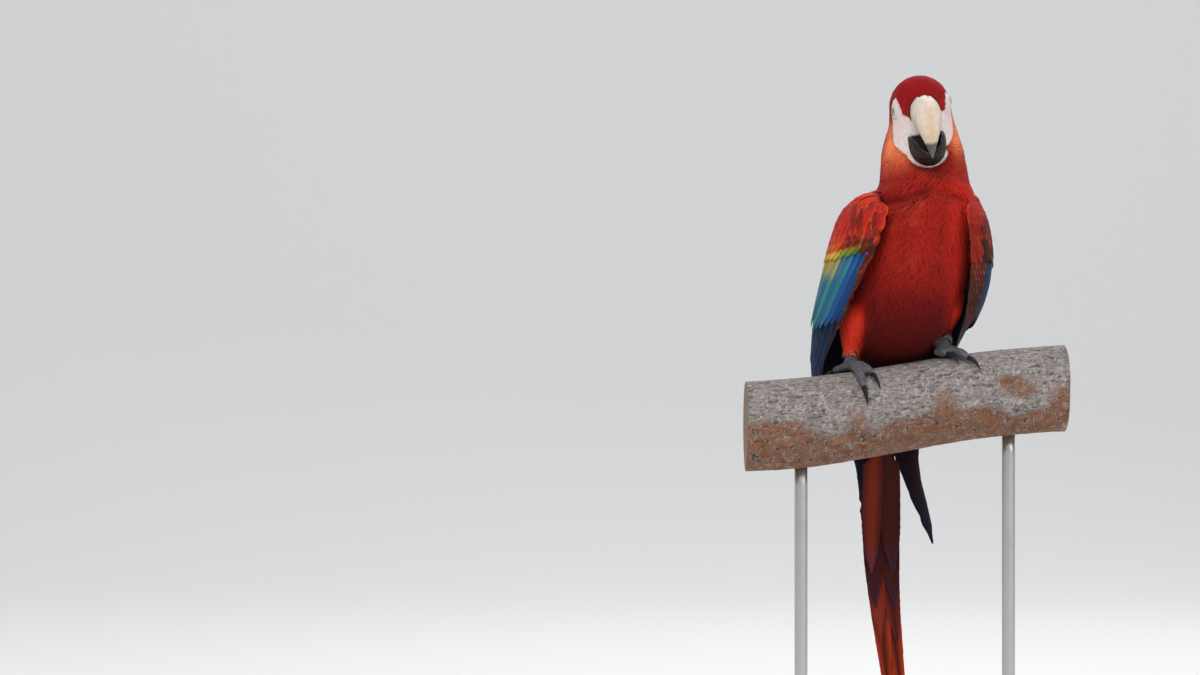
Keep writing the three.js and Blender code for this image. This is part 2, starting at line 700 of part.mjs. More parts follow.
function legBand(name) {
  const { inner, outer, height, along } = BAND;
  const profile = [
    new THREE.Vector2(inner, -height / 2),
    new THREE.Vector2(outer, -height / 2),
    new THREE.Vector2(outer, height / 2),
    new THREE.Vector2(inner, height / 2),
    new THREE.Vector2(inner, -height / 2),
  ];
  const line = shankLine(name);
  const turn = new THREE.Quaternion().setFromUnitVectors(
    new THREE.Vector3(0, 1, 0),
    line.getTangent(along),
  );
  const place = line.getPoint(along);
  return new THREE.LatheGeometry(profile, 14)
    .applyQuaternion(turn)
    .translate(place.x, place.y, place.z);
}

// Adds the leg's solids and returns the shapes that a wing beside it has to clear.
function addLeg(name, body, branch) {
  const upper = thigh(name);
  const toes = Object.entries(FEET[name].toes);
  add(`thigh_${name}`, surface(cutBy(upper, body, branch)), finishes.plumage());
  const joined = toes.reduce(
    (sum, [, toe]) => sum.add(solid(toeTube(toe))),
    solid(tarsus(name)),
  );
  const clear = [upper, branch, body].reduce(
    (left, other) => left.subtract(solid(swollen(other, GAP))),
    joined,
  );
  const flesh = surface(clear);
  add(`foot_${name}`, flesh, finishes.foot());
  for (const [place, toe] of toes) {
    const horn = solid(claw(toe)).subtract(solid(swollen(branch, GAP)));
    const free = horn.subtract(solid(swollen(toeTube(toe), GAP)));
    add(`claw_${name}_${place}`, surface(free), finishes.black_horn());
  }
  return [upper, flesh, ...toes.map(([, toe]) => claw(toe))];
}

// ---------------------------------------------------------------- perch and stand
// The bark's distance from the axis: lumpy below, but true along the top, where the feet grip.
function branchSkin(x, turn) {
  const swell = 1.5 * Math.sin(3 * turn + x / 46) + 0.9 * Math.sin(5 * turn - x / 31);
  const top = Math.max(Math.cos(turn), 0);
  return BRANCH_RADIUS + (swell - BRANCH_TAPER * x) * (1 - top);
}

function branch() {
  const rings = [];
  for (let i = 0; i <= BRANCH_RINGS; i += 1) {
    const x = lerp(-BRANCH_END, BRANCH_END, i / BRANCH_RINGS);
    const ring = [];
    for (let k = 0; k < BRANCH_SIDES; k += 1) {
      const turn = (2 * Math.PI * k) / BRANCH_SIDES;
      ring.push(besideBranch(x, THREE.MathUtils.radToDeg(turn), branchSkin(x, turn)));
    }
    rings.push(ring);
  }
  return loft(rings);
}

function standBase() {
  const radius = BASE_RADIUS;
  const profile = [
    new THREE.Vector2(0, 0),
    new THREE.Vector2(radius - BASE_BEVEL / 2, 0),
    new THREE.Vector2(radius, BASE_BEVEL / 2),
    new THREE.Vector2(radius, BASE_THICKNESS - BASE_BEVEL),
    new THREE.Vector2(radius - BASE_BEVEL, BASE_THICKNESS),
    new THREE.Vector2(0, BASE_THICKNESS),
  ];
  return new THREE.LatheGeometry(profile, 36).rotateX(Math.PI / 2);
}

// A round rod on a low flange, from the base up to the branch's axis; the branch then cuts it off.
function standRod(side) {
  const top = PERCH_HEIGHT + branchAxis(side * ROD_OFFSET).z;
  const foot = BASE_THICKNESS + GAP;
  const profile = [
    new THREE.Vector2(0, foot),
    new THREE.Vector2(FLANGE_RADIUS, foot),
    new THREE.Vector2(FLANGE_RADIUS, foot + FLANGE_HEIGHT - 2),
    new THREE.Vector2(FLANGE_RADIUS - 2, foot + FLANGE_HEIGHT),
    new THREE.Vector2(ROD_RADIUS + 3, foot + FLANGE_HEIGHT),
    new THREE.Vector2(ROD_RADIUS, foot + FLANGE_HEIGHT + 3),
    new THREE.Vector2(ROD_RADIUS, top),
    new THREE.Vector2(0, top),
  ];
  const rod = new THREE.LatheGeometry(profile, 12).rotateX(Math.PI / 2);
  return rod.translate(side * ROD_OFFSET, PERCH_SETBACK, 0);
}

// ---------------------------------------------------------------- assembly
const macaw = new THREE.Group();
macaw.position.set(0, PERCH_SETBACK, PERCH_HEIGHT);
const display = new THREE.Group();
display.add(macaw);

function add(name, geometry, material, parent = macaw) {
  const mesh = new THREE.Mesh(geometry, material);
  mesh.name = name;
  parent.add(mesh);
}

const perch = branch();
const body = surface(cutBy(wholeBody(), perch));
const tailBlades = [];
for (const side of [-1, 1]) {
  TAIL_STEPS.forEach((_, pair) => {
    const name = `tail_feather_${side < 0 ? "right" : "left"}_${pair + 1}`;
    tailBlades.push({ name, blade: tailFeather(side, pair) });
  });
}

addHead(body);
add("neck", between(solid(body), HEAD_CUT, NECK_CUT), finishes.plumage());
add("trunk", between(solid(body), NECK_CUT, TRUNK_CUT), finishes.plumage());
add("tail_base", between(solid(body), TRUNK_CUT, null), finishes.plumage());

for (const { name, blade } of tailBlades) {
  add(name, surface(cutBy(blade, body)), finishes.tail());
}

const legs = { right: addLeg("right", body, perch), left: addLeg("left", body, perch) };
const bladeShapes = tailBlades.map(({ blade }) => blade);
addWing("right", -1, WING_RIGHT, [body, perch, ...legs.right, ...bladeShapes]);
addWing("left", 1, WING_LEFT, [body, perch, ...legs.left, ...bladeShapes]);

add("leg_band", surface(cutBy(legBand("left"), body, ...legs.left)), finishes.steel());
add("perch_branch", perch, finishes.bark());
add("stand_base", standBase(), finishes.base(), display);
const liftedPerch = perch.clone().translate(0, PERCH_SETBACK, PERCH_HEIGHT);
add("stand_rod_right", surface(cutBy(standRod(-1), liftedPerch)), finishes.steel(), display);
add("stand_rod_left", surface(cutBy(standRod(1), liftedPerch)), finishes.steel(), display);

export default display;
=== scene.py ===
"""Feathers, horn, skin, perch and stand over the solid frame of a perched scarlet macaw.

Lengths are in metres unless a name or a comment says millimetres. The solid frame gives every place:
the bird's own axes start at the top of the perch, and the head's own axes start between its eyes.
"""

import math
from collections import namedtuple
from types import SimpleNamespace

import bpy
import numpy as np
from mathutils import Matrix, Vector, noise
from mathutils.bvhtree import BVHTree


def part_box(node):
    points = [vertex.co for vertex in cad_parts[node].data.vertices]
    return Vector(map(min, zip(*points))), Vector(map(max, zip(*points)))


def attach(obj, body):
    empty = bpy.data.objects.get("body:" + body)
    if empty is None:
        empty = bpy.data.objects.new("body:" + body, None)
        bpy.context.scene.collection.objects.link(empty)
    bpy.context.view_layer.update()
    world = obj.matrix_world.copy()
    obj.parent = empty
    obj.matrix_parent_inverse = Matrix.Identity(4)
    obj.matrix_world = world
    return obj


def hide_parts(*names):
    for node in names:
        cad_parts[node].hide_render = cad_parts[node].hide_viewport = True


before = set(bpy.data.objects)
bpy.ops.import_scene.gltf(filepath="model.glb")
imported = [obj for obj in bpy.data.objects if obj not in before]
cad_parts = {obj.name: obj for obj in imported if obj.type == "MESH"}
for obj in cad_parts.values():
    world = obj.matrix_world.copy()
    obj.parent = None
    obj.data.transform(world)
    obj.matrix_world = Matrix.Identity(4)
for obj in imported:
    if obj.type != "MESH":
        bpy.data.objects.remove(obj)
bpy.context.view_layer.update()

bl_info = {
    "name": "Perched Macaw",
    "version": (1, 0, 0),
    "blender": (4, 5, 0),
    "location": "View3D > Sidebar > Macaw",
    "description": "Skin, feathers, horn, perch and stand over a macaw's solid frame",
    "category": "Object",
}

MM = 0.001
SIDES = {"right": -1, "left": 1}
BODY = ("head", "neck", "trunk", "tail_base")
THIGHS = ("thigh_right", "thigh_left")
FEET = ("foot_right", "foot_left")
SHOULDERS = ("wing_right_shoulder", "wing_left_shoulder")
FLESH = BODY + THIGHS + FEET + SHOULDERS
TAIL_PAIRS = 6


# ---- numbers
def unit(vectors):
    return vectors / np.maximum(np.linalg.norm(vectors, axis=-1, keepdims=True), 1e-12)


def ramp(low, high, value):
    """0 below low, 1 above high, smooth between; low may be the greater."""
    t = np.clip((value - low) / (high - low), 0, 1)
    return t * t * (3 - 2 * t)


def blend(first, second, part):
    """Mixes two colours, or two lists of colours, by a number or one number for each point."""
    part = np.asarray(part)[..., None]
    return np.asarray(first) * (1 - part) + np.asarray(second) * part


def level(vectors, normals):
    """The part of each vector that lies along the surface, as a unit vector."""
    return unit(vectors - normals * (vectors * normals).sum(axis=-1, keepdims=True))


def for_each(points, row):
    """The same row for every one of the points."""
    return np.tile(row, (len(points), 1))


def circle(count):
    """Sines and cosines of even turns, as columns."""
    turns = np.linspace(0, math.tau, count, endpoint=False)[:, None]
    return np.sin(turns), np.cos(turns)


def ripple(points, size):
    """A cheap smooth pattern from -1 to 1, with waves about size long."""
    x, y, z = (np.asarray(points) / size * math.tau).T
    return (np.sin(x + 1.7 * np.sin(z)) + np.sin(1.3 * y - 0.9 * x) + np.sin(z + 0.8 * y)) / 3


# ---- surfaces
def mesh_points(piece):
    spots = np.empty(len(piece.data.vertices) * 3, np.float32)
    piece.data.vertices.foreach_get("co", spots)
    return spots.reshape(-1, 3).astype(float)


def mesh_triangles(piece):
    piece.data.calc_loop_triangles()
    corners = np.empty(len(piece.data.loop_triangles) * 3, np.int32)
    piece.data.loop_triangles.foreach_get("vertices", corners)
    return corners.reshape(-1, 3)


def node_mesh(names):
    """Points and triangles of some CAD nodes, joined, and the place in names that each triangle is from."""
    points, triangles, owners = [], [], []
    start = 0
    for owner, name in enumerate(names):
        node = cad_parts[name]
        points.append(mesh_points(node))
        triangles.append(mesh_triangles(node) + start)
        owners.append(np.full(len(triangles[-1]), owner))
        start += len(points[-1])
    return np.concatenate(points), np.concatenate(triangles), np.concatenate(owners)


CANDIDATES = 26  # how many places are tried for each square of one gap


class Surface:
    """A triangulated surface that roots are scattered on and vanes are laid along."""

    def __init__(self, points, triangles):
        self.points = points
        self.triangles = triangles
        self.tree = BVHTree.FromPolygons(points.tolist(), triangles.tolist())
        a, b, c = (points[triangles[:, k]] for k in range(3))
        across = np.cross(b - a, c - a)
        self.areas = np.linalg.norm(across, axis=1) / 2
        self.centres = (a + b + c) / 3
        sums = np.zeros_like(points)
        for k in range(3):
            np.add.at(sums, triangles[:, k], across)
        self.normals = unit(sums)

    def nearest(self, queries):
        """Nearest points of the surface, its smooth normals there, and the distances."""
        found = [self.tree.find_nearest(query) for query in queries.tolist()]
        spots = np.array([place[0] for place in found])
        faces = np.array([place[2] for place in found])
        gaps = np.array([place[3] for place in found])
        return spots, unit(self.normals[self.triangles[faces]].sum(axis=1)), gaps

    def cast(self, starts, directions):
        """Where rays first meet the surface; a ray that misses gives not-a-number."""
        misses = (math.nan,) * 3
        rays = zip(starts.tolist(), directions.tolist())
        return np.array([self.tree.ray_cast(start, way)[0] or misses for start, way in rays])

    def scatter(self, inside, gap, seed):
        """Roots over the triangles marked inside, apart by gap, which is a number or a function of points."""

        def room(spots):
            return gap(spots) if callable(gap) else np.full(len(spots), gap)

        rng = np.random.default_rng(seed)
        faces = np.flatnonzero(inside)
        share = self.areas[faces] / room(self.centres[faces]) ** 2
        count = int(share.sum() * CANDIDATES) + 1
        picks = rng.choice(faces, count, p=share / share.sum())
        a, b = rng.random((2, count))
        over = a + b > 1
        a[over], b[over] = 1 - a[over], 1 - b[over]
        corners = self.points[self.triangles[picks]]
        spots = corners[:, 0] + a[:, None] * (corners[:, 1] - corners[:, 0])
        spots += b[:, None] * (corners[:, 2] - corners[:, 0])
        return spots[spread_out(spots, room(spots))]


def node_surface(*names):
    """The solids' own surface over some CAD nodes."""
    return Surface(*node_mesh(names)[:2])


def piece_surface(piece):
    return Surface(mesh_points(piece), mesh_triangles(piece))


def spread_out(spots, gaps):
    """Which of the spots keep their own gap to every spot kept before them."""
    cell = gaps.max()
    around = [(i, j, k) for i in (-1, 0, 1) for j in (-1, 0, 1) for k in (-1, 0, 1)]
    shelves = {}
    kept = []
    rows = zip(spots.tolist(), (gaps**2).tolist(), np.floor(spots / cell).astype(int).tolist())
    for index, ((x, y, z), room, (i, j, k)) in enumerate(rows):
        near = (p for a, b, c in around for p in shelves.get((i + a, j + b, k + c), ()))
        if all((x - p[0]) ** 2 + (y - p[1]) ** 2 + (z - p[2]) ** 2 >= room for p in near):
            shelves.setdefault((i, j, k), []).append((x, y, z))
            kept.append(index)
    return np.array(kept)


# ---- landmarks, read from the frame
LEFT = np.array([1.0, 0.0, 0.0])
BACK = np.array([0.0, 1.0, 0.0])
DOWN = np.array([0.0, 0.0, -1.0])


def find_roost():
    """The top of the perch at mid length, where the bird's own axes start."""
    low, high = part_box("perch_branch")
    perch = node_surface("perch_branch")
    above = np.array([[0.0, (low.y + high.y) / 2, high.z + 1]])
    return perch.cast(above, DOWN[None])[0]


ROOST = find_roost()


def bird_mm(points):
    """Millimetres along the bird's axes: to its left, backwards, up from the perch."""
    return (points - ROOST) / MM


def find_spine():
    """The middle of the body at every level, as columns z, x, y in the bird's millimetres."""
    spots = bird_mm(node_mesh(BODY)[0])
    levels = np.arange(spots[:, 2].min() + 10, spots[:, 2].max() - 34, 8)
    middles = []
    for z in levels:
        slab = spots[np.abs(spots[:, 2] - z) < 12]
        middle = (slab.min(axis=0) + slab.max(axis=0)) / 2
        middles.append((z, middle[0], middle[1]))
    return np.array(middles)


SPINE = find_spine()
TAIL_SLIDE = math.tan(math.radians(13))  # the tail slopes back below the body's end


def spine(z):
    """x and y of the body's middle at heights z, all in the bird's millimetres."""
    x = np.interp(z, SPINE[:, 0], SPINE[:, 1])
    y = np.interp(z, SPINE[:, 0], SPINE[:, 2])
    return x, y + np.maximum(SPINE[0, 0] - z, 0) * TAIL_SLIDE


def middle_of(node):
    low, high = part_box(node)
    return np.array((low + high) / 2)


EYES = {side: middle_of("eye_" + side) for side in SIDES}
BROW = (EYES["left"] + EYES["right"]) / 2


def leaning(degrees):
    """The line through the eyes, turned by degrees towards level."""
    x, _, z = EYES["left"] - EYES["right"]
    lean = math.atan2(z, x) - math.radians(degrees)
    return np.array([math.cos(lean), 0.0, math.sin(lean)])


HEAD_LEFT = leaning(3.5)
HEAD_UP = np.cross(HEAD_LEFT, BACK)
BILL_LEFT = leaning(6.5)  # the bill hangs straighter than the head
BILL_UP = np.cross(BILL_LEFT, BACK)


def head_mm(points, left=HEAD_LEFT):
    """Millimetres from between the eyes: across to the bird's left, forward, and up."""
    away = (points - BROW) / MM
    return away @ left, -(away @ BACK), away @ np.cross(left, BACK)


def head_point(across, forward, up, left=HEAD_LEFT):
    """The place that head_mm gives those numbers for."""
    return BROW + (across * left - forward * BACK + up * np.cross(left, BACK)) * MM


# ---- sizes and colours a user would change
def length_prop(name, description, default_mm):
    kind = {"subtype": "DISTANCE", "unit": "LENGTH", "min": 0.0}
    return bpy.props.FloatProperty(name=name, description=description, default=default_mm * MM, **kind)


def colour_prop(name, description, default):
    kind = {"subtype": "COLOR", "size": 3, "min": 0.0, "max": 1.0}
    return bpy.props.FloatVectorProperty(name=name, description=description, default=default, **kind)


class MacawSizes(bpy.types.PropertyGroup):
    """Lengths that set how fine the bird's surface is."""

    skin_grain: length_prop("Skin grain", "Size of the skin's faces", 1.7)
    horn_grain: length_prop("Horn grain", "Size of the bill's faces", 0.6)
    claw_grain: length_prop("Claw grain", "Size of the claws' faces", 0.4)
    plush_gap: length_prop("Plush gap", "Between the feathers of the forehead", 1.15)
    neck_gap: length_prop("Neck gap", "Between the feathers of the neck", 2.1)
    breast_gap: length_prop("Breast gap", "Between the feathers of the breast and back", 2.7)
    covert_gap: length_prop("Covert gap", "Between the small feathers of the shoulder", 4.0)
    thigh_gap: length_prop("Thigh gap", "Between the feathers of the thigh", 2.3)
    scale_gap: length_prop("Scale gap", "Between the scales of the feet", 2.1)
    bark_grain: length_prop("Bark grain", "Size of the perch's faces", 1.3)


class MacawColours(bpy.types.PropertyGroup):
    """The bird's own colours; garnet and maroon also carry painted shade."""

    crimson: colour_prop("Crimson", "Forehead and crown", (0.27, 0.0045, 0.0075))
    scarlet: colour_prop("Scarlet", "Neck, breast and mantle", (0.285, 0.0095, 0.0044))
    # The belly's colour is its own deeper red, darkened further by painted shade from the light above
    garnet_and_shade: colour_prop("Garnet", "Belly and vent", (0.085, 0.0010, 0.0009))
    ember: colour_prop("Ember", "Cheeks behind the bare face", (0.88, 0.24, 0.09))
    gold: colour_prop("Gold", "Greater coverts of the wing", (0.66, 0.43, 0.035))
    leaf: colour_prop("Leaf", "Green tips of the coverts", (0.12, 0.19, 0.018))
    teal: colour_prop("Teal", "Edges of the blue coverts", (0.036, 0.205, 0.200))
    azure: colour_prop("Azure", "Wing coverts and rump", (0.012, 0.057, 0.182))
    navy: colour_prop("Navy", "Flight feathers", (0.0045, 0.018, 0.058))
    dusk: colour_prop("Dusk", "Undersides of the flight feathers", (0.036, 0.009, 0.008))
    flame: colour_prop("Flame", "Long tail feathers", (0.55, 0.055, 0.016))
    # The tail's undersides are their dull red, darkened further by painted shade beneath the perch
    maroon_and_shade: colour_prop("Maroon", "Undersides of the outer tail feathers", (0.024, 0.0022, 0.0018))
    umber: colour_prop("Umber", "Dark marks of the shoulder", (0.035, 0.018, 0.008))
    face: colour_prop("Face", "Bare skin of the face", (0.86, 0.76, 0.74))
    ivory: colour_prop("Ivory", "Upper bill", (0.66, 0.555, 0.465))
    tan: colour_prop("Tan", "Streak down the upper bill", (0.58, 0.40, 0.25))
    jet: colour_prop("Jet", "Lower bill, bill tip and claws", (0.009, 0.0065, 0.008))
    slate: colour_prop("Slate", "Scaly skin of the feet", (0.085, 0.088, 0.100))


def sizes():
    return bpy.context.scene.macaw_sizes


def own_names(group):
    """The names of the properties that a group has of its own."""
    return [name for name in group.bl_rna.properties.keys() if name not in ("rna_type", "name")]


def palette():
    """The colours as arrays."""
    group = bpy.context.scene.macaw_colours
    return SimpleNamespace(**{name: np.array(getattr(group, name)) for name in own_names(group)})


# ---- the colour pattern, with painted light and shade, shared by skin and coat
# The bare face, in the head's millimetres: how far forward its rear edge is at each height.
FACE_REAR = ((-69, 32), (-62, 27), (-54, 19), (-44, 9), (-34, 1), (-20, -5), (0, -11), (8, -10), (16, 2))
HORN_FOOT = -9  # the red forehead reaches this far down beside the bill
HORN_HALF = 18.5  # half its width there
HORN_FLARE = 0.26  # and how much wider it is for each millimetre up
CHIN_TOP = -46  # below this height the bare skin rounds in under the lower bill
CHIN_ROOM = 20.0  # how far below that it reaches, in millimetres
CHIN_SQUEEZE = 0.84  # its depth there against half its width


def bare_sides(points):
    """How far inside the bare white face each point is, in millimetres; negative is outside."""
    across, forward, up = head_mm(points)
    heights, rears = np.array(FACE_REAR, float).T
    behind = forward - np.interp(up, heights, rears)
    under_top = np.where(up > HORN_FOOT, np.abs(across) - HORN_HALF - HORN_FLARE * (up - HORN_FOOT), 20)
    below_brow = heights[-1] - up
    above_chin = up - heights[0]
    return np.minimum.reduce([behind, under_top, below_brow, above_chin])


def bare_face(points):
    """The bare sides, with the thin bare line that joins them under the lower bill."""
    across, forward, up = head_mm(points, BILL_LEFT)
    chin = CHIN_ROOM - np.hypot(across * CHIN_SQUEEZE, up - CHIN_TOP)
    sides = bare_sides(points)
    return np.where((forward > 4) & (up < CHIN_TOP), np.maximum(sides, chin), sides)


# The lower edge of the neck's loose feathers, over the breast: across and up in the bird's millimetres.
RUFF_EDGE = ((-25, 174), (-14, 177), (1, 180), (11, 186), (27, 187.5), (45, 183), (64, 176), (74, 172))
RUFF_DEPTH = 3.4  # how far they stand out over the breast, in millimetres


def over_ruff(points):
    """Millimetres over the loose feathers' lower edge, and 1 in front of the bird or 0 behind it."""
    x, y, z = bird_mm(points).T
    edge_x, edge_z = np.array(RUFF_EDGE).T
    return z - np.interp(x, edge_x, edge_z), ramp(10, -12, y - spine(z)[1])


def ruff(points):
    """How many millimetres the neck's loose feathers stand out; negative in the cleft below them."""
    over, front = over_ruff(points)
    crest, dip = np.exp(-(((over - 8) / 8) ** 2)), np.exp(-(((over + 2.5) / 4) ** 2))
    return front * (RUFF_DEPTH * crest - RUFF_DEPTH * dip)


def cleft(points):
    """1 in the deepest places of the cleft below the loose feathers, where the coat is painted darker as
    shade.
    """
    over, front = over_ruff(points)
    return front * np.exp(-(((over + 3) / 4.5) ** 2)) * ramp(-0.5, 0.5, ripple(points, 0.05))


THIGH_EDGE = (-48, 52)  # the inner edges of the bright thighs, right and left, in the bird's millimetres
THIGH_LIGHT = 2.5  # how much brighter the thighs are painted than the breast: partly their own brighter red, partly painted light


def thigh_part(x, z):
    """1 on the lower thighs, which are painted brighter, and 0 on the belly between them, which is painted
    darker.
    """
    return ramp(-5, 3, np.where(x < 0, THIGH_EDGE[0] - x, x - THIGH_EDGE[1])) * ramp(70, 48, z)


def plumage(points, colours):
    """The coat's colour at points of the head, neck, trunk and tail base, with painted light and shade in
    places.

    Every ramp over x, y, z, across, forward or up runs between places in millimetres on those axes.
    """
    x, y, z = bird_mm(points).T
    across, forward, up = head_mm(points)
    behind = ramp(-5, 25, y - spine(z)[1])
    belly = ramp(124, 32, z) * (1 - behind)
    rump = ramp(62, 20, z) * ramp(-10, 6, y - spine(z)[1])
    flank = ramp(34, 52, np.abs(x)) * ramp(24, 44, z) * ramp(130, 100, z)
    # The belly is painted darker: partly its own deeper red, partly painted shade, which thins out on the
    # flanks.
    colour = blend(colours.scarlet, colours.garnet_and_shade, belly * (1 - 0.75 * flank))
    # The lower thighs are painted brighter: partly their own brighter red, partly painted light where they
    # catch the light.
    colour = blend(colour, colours.scarlet * THIGH_LIGHT, thigh_part(x, z) * (1 - behind))
    colour = blend(colour, colours.azure, rump)
    crown = ramp(-6, 12, up) * ramp(-45, -10, forward)
    colour = blend(colour, colours.crimson, crown)
    cheek = ramp(-80, -35, up) * ramp(-1, -18, up) * ramp(15, 31, np.abs(across)) * ramp(-28, -4, forward)
    colour = blend(colour * (1 + 0.6 * cheek)[:, None], colours.ember, 0.92 * cheek**1.6)
    worn = ramp(0.2, 1.5, ripple(points, 0.057) + 0.6 * ripple(points, 0.023)) * (1 - behind) * (1 - crown)
    colour = blend(colour, colours.ember, 0.06 * worn * ramp(70, 120, z))
    lit_side = ramp(34, 54, x) * ramp(24, 60, z) * ramp(215, 185, z) * (1 - behind)
    # Random mottling, with painted shade in the cleft below the loose feathers.
    mottle_and_cleft_shade = 1 + 0.12 * ripple(points, 0.031) + 0.07 * ripple(points, 0.012) - 0.42 * cleft(points)
    return colour * (mottle_and_cleft_shade + 0.65 * lit_side)[:, None]


# The mouth in the bill's millimetres: half its width, and the heights of its top, widest part and bottom.
MOUTH_HALF = 16.8
MOUTH_TOP, MOUTH_WIDEST, MOUTH_BOTTOM = -29.6, -45.0, -61.0
MOUTH_TILT = 0.06  # its rise, and the lower bill's, for each millimetre to the left


def mouth(points):
    """1 inside the mouth, between the halves of the bill, and 0 outside it."""
    across, forward, up = head_mm(points, BILL_LEFT)
    height = up - MOUTH_TILT * across
    drop = np.clip((MOUTH_WIDEST - height) / (MOUTH_WIDEST - MOUTH_BOTTOM), 0, 1)
    half = MOUTH_HALF * np.sqrt(1 - drop**2)
    return ramp(0.5, -0.5, np.abs(across) - half) * ramp(MOUTH_TOP, MOUTH_TOP - 1.2, height) * (forward > 12)


def skin_colour(points, owners, colours):
    """Bare face and feet, and dull plumage colour under the coat."""
    colour = plumage(points, colours) * 0.9
    colour = blend(colour, colours.face, ramp(-0.6, 0.6, bare_face(points)))
    # The skin inside the mouth is painted near black, as painted shade in the mouth's hollow.
    colour = blend(colour, colours.jet * 0.3, mouth(points))
    return blend(colour, colours.slate, np.isin(owners, [FLESH.index(foot) for foot in FEET]))


# ---- meshes
def make_piece(name, points, faces, colours=None, maps=None, rim=None):
    """A smooth mesh object. colours and maps have an entry for each point; rim marks sharp edges' points."""
    mesh = bpy.data.meshes.new(name)
    mesh.vertices.add(len(points))
    mesh.vertices.foreach_set("co", np.ascontiguousarray(points, np.float32).ravel())
    mesh.loops.add(faces.size)
    mesh.loops.foreach_set("vertex_index", faces.ravel().astype(np.int32))
    mesh.polygons.add(len(faces))
    mesh.polygons.foreach_set("loop_start", np.arange(0, faces.size, faces.shape[1], dtype=np.int32))
    mesh.update(calc_edges=True)
    mesh.validate()
    mesh.polygons.foreach_set("use_smooth", np.ones(len(mesh.polygons), bool))
    paint(mesh, colours)
    corners = faces.ravel()
    for map_name, spots in (maps or {}).items():
        layer = mesh.uv_layers.new(name=map_name)
        layer.uv.foreach_set("vector", spots[corners].astype(np.float32).ravel())
    if rim is not None:
        ends = np.empty(len(mesh.edges) * 2, np.int32)
        mesh.edges.foreach_get("vertices", ends)
        sharp = mesh.attributes.new("sharp_edge", "BOOLEAN", "EDGE")
        sharp.data.foreach_set("value", rim[ends.reshape(-1, 2)].all(axis=1))
    piece = bpy.data.objects.new(name, mesh)
    bpy.context.scene.collection.objects.link(piece)
    return piece


def paint(mesh, colours):
    """Stores one colour for each point, as the attribute that the materials read; in places that colour holds
    painted light and shade.
    """
    if colours is None:
        return
    layer = mesh.attributes.new("MarkingsAndPaintedShading", "FLOAT_COLOR", "POINT")
    full = np.ones((len(colours), 4), np.float32)
    full[:, :3] = np.clip(colours, 0, 1)
    layer.data.foreach_set("color", full.ravel())


def settle(piece, finish, slot, *nodes):
    """Gives a finished piece its material and body, and hides the CAD nodes that it stands for; slot is not
    used.
    """
    piece.data.materials.append(finish)
    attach(piece, "root")
    if nodes:
        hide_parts(*nodes)


def move_points(piece, points):
    piece.data.vertices.foreach_set("co", points.astype(np.float32).ravel())
    piece.data.update()


def remeshed(name, nodes, grain, passes, cutter=None):
    """One closed even mesh round some CAD nodes less a cutter, its facets rounded away over passes."""
    points, triangles, _ = node_mesh(nodes)
    piece = make_piece(name, points, triangles)
    if cutter:
        notch = piece.modifiers.new("Notch", "BOOLEAN")
        notch.operation = "DIFFERENCE"
        notch.object = cutter
    even = piece.modifiers.new("Even", "REMESH")
    even.mode = "VOXEL"
    even.voxel_size = grain
    shaped = bpy.data.meshes.new_from_object(piece.evaluated_get(bpy.context.evaluated_depsgraph_get()))
    piece.modifiers.clear()
    piece.data = shaped
    shaped.polygons.foreach_set("use_smooth", np.ones(len(shaped.polygons), bool))
    rounded(piece, passes)
    return piece


def lofted(rings, closed_ends=True):
    """Points and triangles of a tube through rings of equal count, its ends closed by fans."""
    rings = np.asarray(rings, float)
    count, sides, _ = rings.shape
    points = rings.reshape(-1, 3)
    row, col = np.meshgrid(np.arange(count - 1), np.arange(sides), indexing="ij")
    a = (row * sides + col).ravel()
    b = (row * sides + (col + 1) % sides).ravel()
    faces = np.concatenate([np.stack([a, b, b + sides], 1), np.stack([a, b + sides, a + sides], 1)])
    if closed_ends:
        ring = np.arange(sides)
        turned = (ring + 1) % sides
        first, last = len(points), len(points) + 1
        top = (count - 1) * sides
        points = np.vstack([points, rings[0].mean(axis=0), rings[-1].mean(axis=0)])
        low = np.stack([turned, ring, np.full(sides, first)], 1)
        high = np.stack([ring + top, turned + top, np.full(sides, last)], 1)
        faces = np.concatenate([faces, low, high])
    return points, faces


# ---- vanes
Outline = namedtuple("Outline", "root full taper tip")
CONTOUR = Outline(0.45, 0.40, 0.55, 0.12)  # broad and round ended
DOWNY = Outline(0.50, 0.30, 0.35, 0.08)  # slim, soft and pointed
PLUSH = Outline(0.50, 0.35, 0.40, 0.10)  # small and soft
LANCE = Outline(0.55, 0.20, 0.66, 0.12)  # long, with a narrowing tip
QUILL = Outline(0.55, 0.20, 0.86, 0.20)  # long, with a broad round tip


def outline(shape, t):
    """Half a vane's width at t along it, against its widest."""
    swell = shape.root + (1 - shape.root) * ramp(0, shape.full, t)
    past = np.clip((t - shape.taper) / (1 - shape.taper), 0, 1)
    return swell * np.maximum(np.sqrt(1 - past**2), shape.tip)


def stations(rows):
    """Places along a vane from root to tip, closer together towards its round tip."""
    return 1 - (1 - np.linspace(0, 1, rows)) ** 1.6


def vane_faces(rows, columns):
    """Triangles of one closed vane: rows of columns points on top, then a keel of single points below."""
    keel = (rows + 1) * columns
    faces = []
    for r in range(rows):
        for c in range(columns - 1):
            a = r * columns + c
            d = a + columns
            faces += [(a, a + 1, d + 1), (a, d + 1, d)]
        left, right = r * columns, r * columns + columns - 1
        low, high = keel + r, keel + r + 1
        faces += [(left, left + columns, high), (left, high, low)]
        faces += [(right, low, high), (right, high, right + columns)]
    last = rows * columns
    for c in range(columns - 1):
        faces.append((c + 1, c, keel))
        faces.append((last + c, last + c + 1, keel + rows))
    return np.array(faces)


